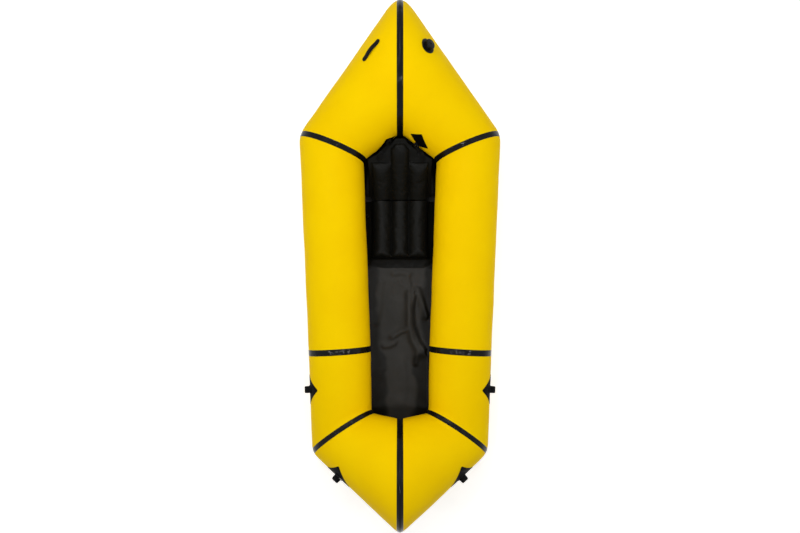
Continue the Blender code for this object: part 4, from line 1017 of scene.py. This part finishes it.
def strap(node, centres, ways, width, wall, shares=None):
    """Webbing along a line of centres, with rounded edges. ways are the directions of its width,
    and shares are how much of the width each place has."""
    centres, ways = np.asarray(centres, float), unit(ways)
    lifts = unit(np.cross(unit(np.gradient(centres, axis=0)), ways))
    length = np.concatenate(([0], np.cumsum(np.linalg.norm(np.diff(centres, axis=0), axis=1))))
    if shares is None:
        shares = np.ones(len(centres))
    verts, uvs = [], []
    for centre, way, lift, share, along in zip(centres, ways, lifts, shares, length):
        for a, b in STRAP_SECTION:
            across = a * (width / 2) * share
            verts.append(centre + way * across + lift * (b * (wall / 2)))
            uvs.append((across, along))
    count = len(STRAP_SECTION)
    faces = grid_faces(len(centres), count, wrap=True)
    faces += [tuple(range(count)), tuple(range(len(verts) - count, len(verts)))]
    obj = outward(mesh_object(f"{node}_webbing", verts, faces, WEBBING, uvs))
    obj.data.set_sharp_from_angle(angle=STRAP_SHARP)
    place(obj, "hull", "webbing", node)


def dense(points, step):
    """A smooth line through points, sampled evenly."""
    points = np.asarray(points, float)
    out = []
    last = len(points) - 1
    for i in range(last):
        p0, p1, p2, p3 = points[max(i - 1, 0)], points[i], points[i + 1], points[min(i + 2, last)]
        m1, m2 = (p2 - p0) / 2, (p3 - p1) / 2
        parts = max(1, int(math.ceil(np.linalg.norm(p2 - p1) / step)))
        for t in (j / parts for j in range(parts)):
            ends = (2 * t**3 - 3 * t**2 + 1) * p1 + (t**3 - 2 * t**2 + t) * m1
            out.append(ends + (-2 * t**3 + 3 * t**2) * p2 + (t**3 - t**2) * m2)
    out.append(points[-1])
    return np.array(out)


def stitch_rows(name, lines):
    """Rows of thread on webbing. Each line holds points, and their outward direction."""
    verts, faces = [], []
    shell = grid_faces(len(STITCH_RINGS), STITCH_SIDES, wrap=True)
    last = (len(STITCH_RINGS) - 1) * STITCH_SIDES
    shell += [tuple(first + a for a in range(STITCH_SIDES)) for first in (0, last)]
    for points, out in lines:
        for start, after in zip(points, points[1:]):
            end = start + (after - start) * STITCH_SHOWN
            way = np.cross(unit(end - start), out)
            faces += [tuple(len(verts) + i for i in face) for face in shell]
            for t, rise, size in STITCH_RINGS:
                centre = start + (end - start) * t + out * rise
                for angle in np.arange(STITCH_SIDES) * 2 * math.pi / STITCH_SIDES:
                    spoke = way * math.cos(angle) + out * math.sin(angle)
                    verts.append(centre + spoke * STITCH_RADIUS * size)
    obj = outward(mesh_object(name, verts, faces, THREAD, [(0, 0)] * len(verts)))
    place(obj, "hull", "webbing")


def tie_downs():
    for name, k, along, angle, skew in TIE_DOWNS:
        leg = LEGS[k]
        radius = (leg.r0 + leg.taper * along) / leg.cosine
        length, breadth = PATCH_HALF_LENGTH, PATCH_HALF_BREADTH
        corners = ((-length, 0), (-skew, breadth), (length, 0), (skew, -breadth))
        for side, word in SIDES:
            patch(f"{name}_patch_{word}", k, side, along, angle, corners, PATCH_CORNER)
            tie_loop(f"{name}_loop_{word}", k, side, along, angle, radius)


def tie_loop(node, k, side, along, angle, radius):
    """Webbing that lies on its patch at both feet and stands off it in an arch between them."""
    origin, run, way, out = LEGS[k].surface(along, angle, side)
    lift = FIT + PATCH_WALL + FIT + LOOP_WEBBING / 2
    half = LOOP_SPAN / 2
    feet = [half + LOOP_WEBBING + LOOP_FOOT * (1 - t) for t in np.linspace(0, 1, 7)]
    left = [(-x, math.sqrt((radius + lift) ** 2 - x**2) - radius) for x in feet]
    top = lift + LOOP_HEIGHT - half
    crown = [(half * math.cos(a), top + half * math.sin(a)) for a in np.linspace(math.pi, 0, 19)]
    path = dense(left + crown + [(-x, z) for x, z in left[::-1]], LOOP_STEP)
    centres = [origin + way * x + out * z for x, z in path]
    strap(node, centres, [run] * len(path), LOOP_WIDTH, LOOP_WEBBING)
    lines = []
    for sign in (-1, 1):
        for share in STITCH_PLACES:
            x = sign * (half + LOOP_WEBBING + LOOP_FOOT * share)
            z = math.sqrt((radius + lift) ** 2 - x**2) - radius + LOOP_WEBBING * STITCH_OVER
            ys = LOOP_WIDTH * STITCH_REACH * np.linspace(-1, 1, 9)
            lines.append(([origin + way * x + out * z + run * y for y in ys], out))
    stitch_rows(f"{node}_stitches", lines)


def lash_strap():
    """A strap welded at both round ends, bowed up between them so that a cord passes under."""
    origin, run, way, out = LEGS[STERN_LEG].surface(LASH_ALONG, LASH_ANGLE, -1)
    half = LASH_LENGTH / 2
    arch = half - LASH_FOOT
    foot = np.linspace(arch, half - LASH_BLUNT, 16)
    xs = np.concatenate((-foot[::-1], np.linspace(-arch, arch, 41)[1:-1], foot))
    rise = LASH_ARCH * np.sin(math.pi * np.clip((xs + arch) / (2 * arch), 0, 1))
    ends = np.clip((half - np.abs(xs)) / (LASH_WIDTH / 2), 0, 1)
    centres = [origin + run * x + out * (FIT + LASH_WALL / 2 + z) for x, z in zip(xs, rise)]
    shares = np.sqrt(1 - (1 - ends) ** 2)
    strap("stern_lash_strap", centres, [way] * len(xs), LASH_WIDTH, LASH_WALL, shares)


def anchors():
    """The patches on the stern's inner side that hold the rings of the backrest straps."""
    corners = (
        (-ANCHOR_HALF_LENGTH, -ANCHOR_TURN),
        (-ANCHOR_SKEW, -ANCHOR_HALF_BREADTH),
        (ANCHOR_HALF_LENGTH, ANCHOR_TURN),
        (ANCHOR_SKEW, ANCHOR_HALF_BREADTH),
    )
    for word, side, along, angle in ANCHORS:
        patch(f"anchor_patch_{word}", STERN_LEG, side, along, angle, corners, ANCHOR_CORNER)


# Seat and backrest

SEAT_REAR_Y = 0.2695
SEAT_CHANNEL_LENGTH = 0.2480
SEAT_NOSE = 0.046
SEAT_FRONT_FLANGE = 0.0400
SEAT_CREST = 0.0600
SEAT_WELD = 0.1240
SEAT_EDGE = 0.1570
SEAT_VALLEY_SHARE = 0.64
SEAT_WAIST = 0.005
SEAT_FLANGE_LIFT = 0.011
SEAT_MOST_MOVE = 0.005
SEAT_OVER_HINGE = 0.0015
SEAT_CLEARING = 0.1
# A cushion's ends: how much lower its heel is, how far its nose reaches at a weld, and how much
# further at a crest
SEAT_ENDS = 0.04, 0.010, 0.036
BACKREST_ENDS = 0.05, 0.016, 0.034
# Rows of its mesh at the heel, along the middle and round the nose, and steps across each channel
SEAT_ROWS, SEAT_STEPS = (7, 44, 19), 20
BACKREST_ROWS, BACKREST_STEPS = (6, 27, 15), 16
OUTER_FULLNESS = 0.7
VALLEY_X = 0.0380
PAD_SKIN = 0.0012
HEEL = 0.0030
BACKREST_LEAN = math.radians(34)
BACKREST_DEPTH = 0.0450
BACKREST_SIDE_CHANNEL = 0.1665
BACKREST_NOSE = 0.0385
BACKREST_SHOULDER = 0.1790
BACKREST_TOP = 0.2710
BACKREST_TOP_HALF_BREADTH = 0.0200
BACKREST_TOP_FLANGE = 0.0200
BACKREST_WELD = 0.1180
BACKREST_EDGE = 0.1330
BACKREST_VALLEY_SHARE = 0.25
BACKREST_WAIST = 0.003
BACKREST_DRAWN_BACK = 0.006
BACKREST_MOST_MOVE = 0.003
BACKREST_CLEARING = 0.08
SHOULDER_CURVE = 0.7
HINGE_GAP = 0.0006
PAD_SLOW = Waves(0.080, 21)
PAD_FINE = Waves(0.024, 22)
PAD_CREASE = Waves(0.020, 23)
# The cushions' cloth under air pressure
AIR_FRAMES = 20
AIR_CLOTH = {
    "quality": 6,
    "mass": 0.15,
    "tension_stiffness": 25,
    "compression_stiffness": 25,
    "shear_stiffness": 8,
    "bending_stiffness": 0.15,
    "tension_damping": 12,
    "air_damping": 3,
    "use_pressure": True,
    "uniform_pressure_force": 3.0,
    "vertex_group_mass": "welds",
    "shrink_min": -0.010,
}

HINGE = np.array((0, SEAT_REAR_Y + HINGE_GAP, FLOOR_WALL + FIT + SEAT_CREST))
HINGE_X = ACROSS
HINGE_Y = np.array((0, math.cos(BACKREST_LEAN), math.sin(BACKREST_LEAN)))
HINGE_Z = np.cross(HINGE_X, HINGE_Y)


def on_backrest(x, y, z):
    """World place of a point in the backrest's own frame: across it, up it, and out of its front."""
    x, y, z = (np.asarray(v, float)[..., None] for v in (x, y, z))
    return HINGE + HINGE_X * x + HINGE_Y * (y + HINGE_GAP) + HINGE_Z * z


def arc_height(x, half, rise):
    """Height of a circular arc over its chord, 1 at the middle, for a chord and a rise."""
    radius = (half**2 + rise**2) / (2 * rise)
    x = np.minimum(np.abs(x), half)
    return (np.sqrt(radius**2 - x**2) - (radius - rise)) / rise


def channels(x, weld, crest, valley=SEAT_VALLEY_SHARE):
    """Height across three channels, 0 to 1, and how far a place lies from the nearest weld, 0 to 1."""
    x = np.abs(x)
    rise = (1 - valley) * crest
    middle = (VALLEY_X + weld) / 2
    half = (weld - VALLEY_X) / 2
    centre = valley + (1 - valley) * arc_height(x, VALLEY_X, rise)
    inner = valley + (1 - valley) * arc_height(x - middle, half, rise)
    outer = np.sqrt(np.clip(1 - ((x - middle) / half) ** 2, 0, 1)) ** OUTER_FULLNESS
    share = np.where(x < VALLEY_X, centre, np.where(x < middle, inner, np.where(x < weld, outer, 0.0)))
    beside = np.where(x < weld, 1 - np.abs(x - middle) / half, 0.0)
    near = np.where(x < VALLEY_X, 1 - x / VALLEY_X, beside)
    return share, near


def end_height(distance, length):
    """Height of a round end, from 0 at its tip to 1 at this length from it."""
    return np.sqrt(np.clip(1 - (1 - np.clip(distance / length, 0, 1)) ** 2, 0, 1))


def channel_ends(y, rest, near, fall, least, more):
    """Height along a channel: a little lower at its heel, and rounded down to its nose."""
    nose = least + more * np.sqrt(np.clip(near, 0, 1))
    heel = 1 - fall + fall * end_height(y, HEEL)
    return heel * end_height(np.clip(rest, 0, None), nose)


def channel_rows(length, nose, counts):
    """Places along a channel: counts of rows at its heel, along its middle and round its nose."""
    heel, middle, round_nose = (np.linspace(0, 1, count) for count in counts)
    first = HEEL * (1 - np.cos(heel * math.pi / 2))
    even = HEEL + (length - nose - HEEL) * middle[1:]
    last = length - nose * (1 - np.sin(round_nose[1:] * math.pi / 2))
    return np.concatenate((first, even, last))


def waisted(x, y, length, edge, depth):
    """x drawn in toward the middle halfway along the channels."""
    return x - np.sin(math.pi * np.clip(y / length, 0, 1)) * depth * x / edge


def pad_creases(x, y, near, ends):
    """Puckers that run off the welds across each channel, and slow swelling along it."""
    points = np.stack((x * 0.3, y, np.sign(x) * 0.3), -1)
    flat = np.stack((x, y, np.zeros_like(x)), -1)
    pinch = np.clip(PAD_CREASE(points), 0, 1.5) ** 1.3 * np.exp(-near / 0.32) * (near > 0)
    swell = 0.0008 * PAD_SLOW(flat) * smooth(near, 0, 0.5) + 0.0001 * PAD_FINE(flat)
    return (swell - 0.0010 * pinch) * ends * smooth(ends, 0, 0.5)


def pad_columns(weld, edge, steps):
    """Places across a pad: even steps round each channel's arc, and the flanges beside them."""
    middle, half = (VALLEY_X + weld) / 2, (weld - VALLEY_X) / 2
    turns = np.linspace(0, math.pi, steps + 1)
    outer = middle - half * np.cos(turns)
    centre = -VALLEY_X * np.cos(turns)
    flange = np.linspace(weld, edge, 6)[1:]
    return np.concatenate((-flange[::-1], -outer[::-1], centre[1:-1], outer, flange))


def pad_mesh(name, x, y, height, to_world):
    """A padded form from its upper and lower heights over a grid, closed round its edge."""
    rows, columns = x.shape
    size = rows * columns
    verts = np.concatenate([to_world(x, y, height(x, y, level)).reshape(-1, 3) for level in (1, -1)])
    top = grid_faces(rows, columns)
    faces = top + [tuple(size + i for i in face[::-1]) for face in top]
    rim = list(range(columns))
    rim += [i * columns + columns - 1 for i in range(1, rows)]
    rim += [(rows - 1) * columns + i for i in range(columns - 2, -1, -1)]
    rim += [i * columns for i in range(rows - 2, 0, -1)]
    faces += [(b, a, size + a, size + b) for a, b in zip(rim, rim[1:] + rim[:1])]
    uvs = np.concatenate([np.stack((x, y), -1).reshape(-1, 2)] * 2)
    return outward(mesh_object(name, verts, faces, SEAT, uvs))


def inflate(obj, loose, most):
    """Blows a pad up as cloth under air pressure, its welds held, and no point moved more than most."""
    start = places_of(obj.data)
    group = obj.vertex_groups.new(name="welds")
    for index, free in enumerate(loose):
        group.add([index], float(1 - free), "REPLACE")
    cloth = obj.modifiers.new("air", "CLOTH")
    for key, value in AIR_CLOTH.items():
        setattr(cloth.settings, key, value)
    cloth.settings.effector_weights.gravity = 0
    cloth.collision_settings.use_collision = False
    cloth.point_cache.frame_start = 1
    cloth.point_cache.frame_end = AIR_FRAMES
    scene = bpy.context.scene
    for number in range(AIR_FRAMES):
        scene.frame_set(1 + number)
    apply_modifiers(obj)
    scene.frame_set(1)
    move = places_of(obj.data) - start
    size = np.linalg.norm(move, axis=1)
    move *= (np.minimum(size, most) / np.maximum(size, 1e-9))[:, None]
    obj.data.vertices.foreach_set("co", (start + move).ravel())
    obj.data.update()
    obj.vertex_groups.clear()


def loose_share(near, ends):
    """How free each place is to move: not at the welds, nor at the channels' ends."""
    return (smooth(near, 0.0, 0.3) * smooth(ends, 0.1, 0.7)).ravel()


def subdivided(obj):
    step = obj.modifiers.new("smooth", "SUBSURF")
    step.levels = step.render_levels = 1
    step.boundary_smooth = "PRESERVE_CORNERS"
    apply_modifiers(obj)
    obj.data.shade_smooth()


def seat_cushion():
    """Three channels over a flat underside, with a flange before them that falls to the floor."""
    flange = np.linspace(SEAT_CHANNEL_LENGTH, SEAT_CHANNEL_LENGTH + SEAT_FRONT_FLANGE, 9)[1:]
    rows = np.concatenate((channel_rows(SEAT_CHANNEL_LENGTH, SEAT_NOSE, SEAT_ROWS), flange))
    x, y = np.meshgrid(pad_columns(SEAT_WELD, SEAT_EDGE, SEAT_STEPS), rows, indexing="ij")
    crest = SEAT_CREST - PAD_SKIN
    share, near = channels(x, SEAT_WELD, crest)
    ends = channel_ends(y, SEAT_CHANNEL_LENGTH - y, near, *SEAT_ENDS)

    def height(x, y, level):
        if level < 0:
            return np.zeros_like(x)
        past = np.clip((y - SEAT_CHANNEL_LENGTH) / SEAT_FRONT_FLANGE, 0, 1)
        front = (1 - past) ** 1.5 * smooth(y, 0.20, SEAT_CHANNEL_LENGTH)
        beside = np.clip((SEAT_EDGE - np.abs(x)) / (SEAT_EDGE - SEAT_WELD), 0, 1) ** 1.5
        at_side = beside * (np.abs(x) >= SEAT_WELD) * (past == 0)
        lifted = SEAT_FLANGE_LIFT * np.maximum(front * beside, at_side)
        wavy = 0.0007 * (PAD_FINE(np.stack((x, y, np.full_like(x, 0.2)), -1)) + 1) * (ends == 0)
        return PAD_SKIN + crest * share * ends + pad_creases(x, y, near, ends) + lifted + wavy

    def to_world(x, y, z):
        drawn_in = waisted(x, y, SEAT_CHANNEL_LENGTH, SEAT_EDGE, SEAT_WAIST)
        return np.stack((drawn_in, SEAT_REAR_Y - y, FLOOR_WALL + FIT + z), -1)

    obj = pad_mesh("seat_cushion_pad", x, y, height, to_world)
    free = loose_share(near, ends)
    inflate(obj, np.concatenate((free, np.zeros_like(free))), SEAT_MOST_MOVE)
    # Near the fold line the seat stays under the hinge, so that the backrest clears it when folded
    for vertex in obj.data.vertices:
        vertex.co.y = min(vertex.co.y, SEAT_REAR_Y)
        over = min(SEAT_OVER_HINGE, SEAT_CLEARING * (SEAT_REAR_Y - vertex.co.y))
        vertex.co.z = min(vertex.co.z, HINGE[2] + over)
    subdivided(obj)
    place(obj, "hull", "seat_fabric", "seat_cushion")


def backrest_top(x):
    """How far up the backrest's edge lies at x."""
    breadth = BACKREST_EDGE - BACKREST_TOP_HALF_BREADTH
    fall = np.clip(np.abs(x) - BACKREST_TOP_HALF_BREADTH, 0, None) / breadth
    return BACKREST_TOP - (BACKREST_TOP - BACKREST_SHOULDER) * fall**SHOULDER_CURVE


def backrest_column(x):
    """Places up the backrest at x: its side channels' length, the middle channel's, and the flange."""
    top = float(backrest_top(x))
    rest = max(top - BACKREST_TOP_FLANGE, (BACKREST_SIDE_CHANNEL + top) / 2) - BACKREST_SIDE_CHANNEL
    turns = np.linspace(0, math.pi / 2, 9)[1:]
    shares = np.concatenate((np.linspace(0, 0.55, 9)[1:], 1 - 0.45 * (1 - np.sin(turns))))
    lower = channel_rows(BACKREST_SIDE_CHANNEL, BACKREST_NOSE, BACKREST_ROWS)
    upper = BACKREST_SIDE_CHANNEL + rest * shares
    return np.concatenate((lower, upper, np.linspace(upper[-1], top, 5)[1:]))


def backrest_cushion():
    """Channels on both faces of a flange, the middle one reaching further up into the stern's corner."""
    crest = (BACKREST_DEPTH - PAD_SKIN) / 2
    xs = pad_columns(BACKREST_WELD, BACKREST_EDGE, BACKREST_STEPS)
    y = np.array([backrest_column(x) for x in xs])
    x = np.repeat(xs[:, None], y.shape[1], 1)
    share, near = channels(x, BACKREST_WELD, crest, BACKREST_VALLEY_SHARE)
    inside = np.abs(x) < VALLEY_X
    stop = np.where(inside, backrest_top(x) - BACKREST_TOP_FLANGE, BACKREST_SIDE_CHANNEL)
    ends = channel_ends(y, stop - y, near, *BACKREST_ENDS)

    def height(x, y, level):
        # Past the side channels the middle one falls to the flange at its own welds
        lone = smooth(y, BACKREST_SIDE_CHANNEL - 0.03, BACKREST_SIDE_CHANNEL + 0.002) * inside
        alone = np.sqrt(np.clip(1 - (x / VALLEY_X) ** 2, 0, 1))
        form = share * (1 - lone) + alone * lone
        flat = np.stack((x, y, np.full_like(x, 0.4)), -1)
        flange = 0.0011 * PAD_SLOW(flat) * (ends == 0) + 0.0005 * PAD_FINE(flat) * (ends == 0)
        side = np.clip((np.abs(x) - BACKREST_WELD) / (BACKREST_EDGE - BACKREST_WELD), 0, 1)
        upright = 1 - smooth(y, 0.10, BACKREST_SIDE_CHANNEL)
        flange = flange - BACKREST_DRAWN_BACK * side**1.3 * upright
        crease = pad_creases(x, y + 0.3, near, ends)
        return level * (PAD_SKIN / 2 + crest * form * ends + crease) + flange

    def to_world(x, y, z):
        drawn_in = waisted(x, y, BACKREST_SIDE_CHANNEL, BACKREST_EDGE, BACKREST_WAIST)
        return on_backrest(drawn_in, y, z - BACKREST_DEPTH / 2)

    obj = pad_mesh("backrest_cushion_pad", x, y, height, to_world)
    free = loose_share(near, ends)
    inflate(obj, np.concatenate((free, free)), BACKREST_MOST_MOVE)
    # Near the fold line the front stays behind the hinge, so that it clears the seat
    for vertex in obj.data.vertices:
        spot = np.array(vertex.co) - HINGE
        past = float(spot @ HINGE_Z) - BACKREST_CLEARING * max(float(spot @ HINGE_Y), 0.0)
        if past > 0:
            vertex.co -= Vector(HINGE_Z * past)
    subdivided(obj)
    place(obj, "backrest", "seat_fabric", "backrest_cushion")


# Rings, locks, valves and straps: the solids' own shapes with rounded edges and their finishes

SEAL_EDGE, WEBBING_EDGE, CAP_EDGE, LOCK_EDGE = 0.0001, 0.0002, 0.0004, 0.0006


def main_valve():
    dress_and_ride("valve_cap", PLASTIC, CAP_EDGE)
    for node in ("valve_body", "valve_stem"):
        dress_and_ride(node, PLASTIC)
    for node in ("valve_boot", "valve_cap_tether"):
        dress_and_ride(node, RUBBER)
    for node in ("valve_poppet", "valve_cap_gasket"):
        dress_and_ride(node, SEAL, SEAL_EDGE)
    spring = dressed("valve_spring", STEEL, 0)
    coil = places_of(spring.data)
    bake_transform(spring)


def cushion_valves():
    for cushion in ("seat", "backrest"):
        dress_and_ride(f"{cushion}_valve_base", RUBBER)
        dress_and_ride(f"{cushion}_valve_nozzle", PLASTIC)


def backrest_straps():
    for _, word in SIDES:
        dress_and_ride(f"strap_ring_{word}", PLASTIC, 0)
        dress_and_ride(f"ladder_lock_{word}", PLASTIC, LOCK_EDGE, 3)
        ring = np.mean(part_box(f"strap_ring_{word}"), axis=0)
        lock = np.mean(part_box(f"ladder_lock_{word}"), axis=0)
        way = lock - ring
        axes = [unit(np.cross(unit(way), HINGE_Z)), unit(way)]
        for name in ("ring_keeper", "lock_tab"):
            dress_and_ride(f"{name}_{word}", WEBBING, WEBBING_EDGE, uv_axes=axes)
        strap_piece = dressed(f"backrest_strap_{word}", WEBBING, WEBBING_EDGE, uv_axes=axes)
        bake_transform(strap_piece)
    strip = dressed("backrest_hinge_strip", SEAT, WEBBING_EDGE)
    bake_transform(strip)


# Camera, light and stage

PHOTO_WIDTH, PHOTO_FOCAL = 800.0, 650.0
SENSOR_WIDTH = 36.0
CAMERA_PLACE = (0.0, -0.0105, 2.826)
CAMERA_REACH = 50.0
GROUND_HALF = 9.0
GROUND_Z = -0.0004
GROUND_GLOW = 0.55
SEEN_RAYS = "Is Camera Ray", "Is Glossy Ray", "Is Transmission Ray"
# Each light's name, place, target, breadth and length, and power
LIGHTS = (
    ("key", (-0.25, 1.15, 2.4), (-0.03, 0.35, 0.2), (2.4, 1.8), 25.5),
    ("side_left", (-2.3, 0.0, 1.5), (0, 0, 0.1), (1.2, 2.6), 7.5),
    ("side_right", (2.3, 0.0, 1.5), (0, 0, 0.1), (1.2, 2.6), 7.5),
)
# Small lamps overhead whose glints run along the tapes: one near the bow, and three on each side
LAMP_HEIGHT = 2.65
LAMP_BOW_Y = -0.63
LAMP_PAIRS = (0.57, -0.69), (1.63, -0.69), (0.54, 0.97)
LAMP_TARGET = (0, 0.1, 0.1)
LAMP_SIZE = (0.09, 0.09)
LAMP_POWER = 3.3


def camera():
    data = bpy.data.cameras.new("camera")
    data.sensor_width = SENSOR_WIDTH
    data.lens = SENSOR_WIDTH * PHOTO_FOCAL / PHOTO_WIDTH
    data.clip_end = CAMERA_REACH
    obj = bpy.data.objects.new("camera", data)
    obj.location = CAMERA_PLACE
    bpy.context.collection.objects.link(obj)
    bpy.context.scene.camera = obj
    bpy.context.scene.view_settings.view_transform = "Standard"


def area_light(name, location, target, size, power):
    light = bpy.data.lights.new(name, "AREA")
    light.shape = "RECTANGLE"
    light.size, light.size_y = size
    light.energy = power
    obj = bpy.data.objects.new(name, light)
    obj.location = location
    obj.rotation_mode = "QUATERNION"
    obj.rotation_quaternion = (Vector(target) - Vector(location)).to_track_quat("-Z", "Y")
    bpy.context.collection.objects.link(obj)


def studio_ground():
    """White ground. The eye and reflections also see it glow, and it lights nothing by that glow."""
    n = new_material("studio_floor")
    n.value(n.shader, Base_Color=(0.8, 0.8, 0.8, 1), Roughness=0.9)
    path = n.add("LightPath")
    seen = path.outputs[SEEN_RAYS[0]]
    for ray in SEEN_RAYS[1:]:
        seen = n.math("MAXIMUM", seen, path.outputs[ray])
    dark = n.value(n.add("Emission"), Strength=0.0)
    glow = n.value(n.add("Emission"), Color=(1, 1, 1, 1), Strength=1.0)
    mixed, both = n.add("MixShader"), n.add("AddShader")
    sources = n.math("MULTIPLY", seen, GROUND_GLOW), dark.outputs[0], glow.outputs[0]
    for source, socket in zip(sources, mixed.inputs):
        n.link(source, socket)
    for source, socket in zip((n.shader.outputs[0], mixed.outputs[0]), both.inputs):
        n.link(source, socket)
    n.link(both.outputs[0], n.tree.nodes["Material Output"].inputs["Surface"])
    verts = [(x * GROUND_HALF, y * GROUND_HALF, 0) for x, y in ((-1, -1), (1, -1), (1, 1), (-1, 1))]
    floor = mesh_object("studio_floor", verts, [(0, 1, 2, 3)], n.owner)
    floor.location.z = GROUND_Z


def studio_world():
    """A sky that is darker overhead, and plain white to the eye and in reflections."""
    world = bpy.data.worlds.new("studio")
    n = Nodes(world)
    background = n.value(n.tree.nodes["Background"], Color=(1, 1, 1, 1))
    strength = n.remap(n.split(n.coordinates("Generated"))[2], 0.15, 0.75, 0.62, 0.20)
    path = n.add("LightPath")
    for ray in SEEN_RAYS:
        strength = n.math("MAXIMUM", strength, path.outputs[ray])
    n.link(strength, background.inputs["Strength"])
    bpy.context.scene.world = world


def lights():
    for settings in LIGHTS:
        area_light(*settings)
    places = [(0.0, LAMP_BOW_Y)] + [(side * x, y) for x, y in LAMP_PAIRS for side, _ in SIDES]
    for i, (x, y) in enumerate(places):
        area_light(f"lamp_{i}", (x, y, LAMP_HEIGHT), LAMP_TARGET, LAMP_SIZE, LAMP_POWER)


camera()
studio_ground()
studio_world()
lights()
tube_panels()
seam_tapes()
floor_sheet()
tie_downs()
lash_strap()
seat_cushion()
backrest_cushion()
anchors()
main_valve()
cushion_valves()
backrest_straps()
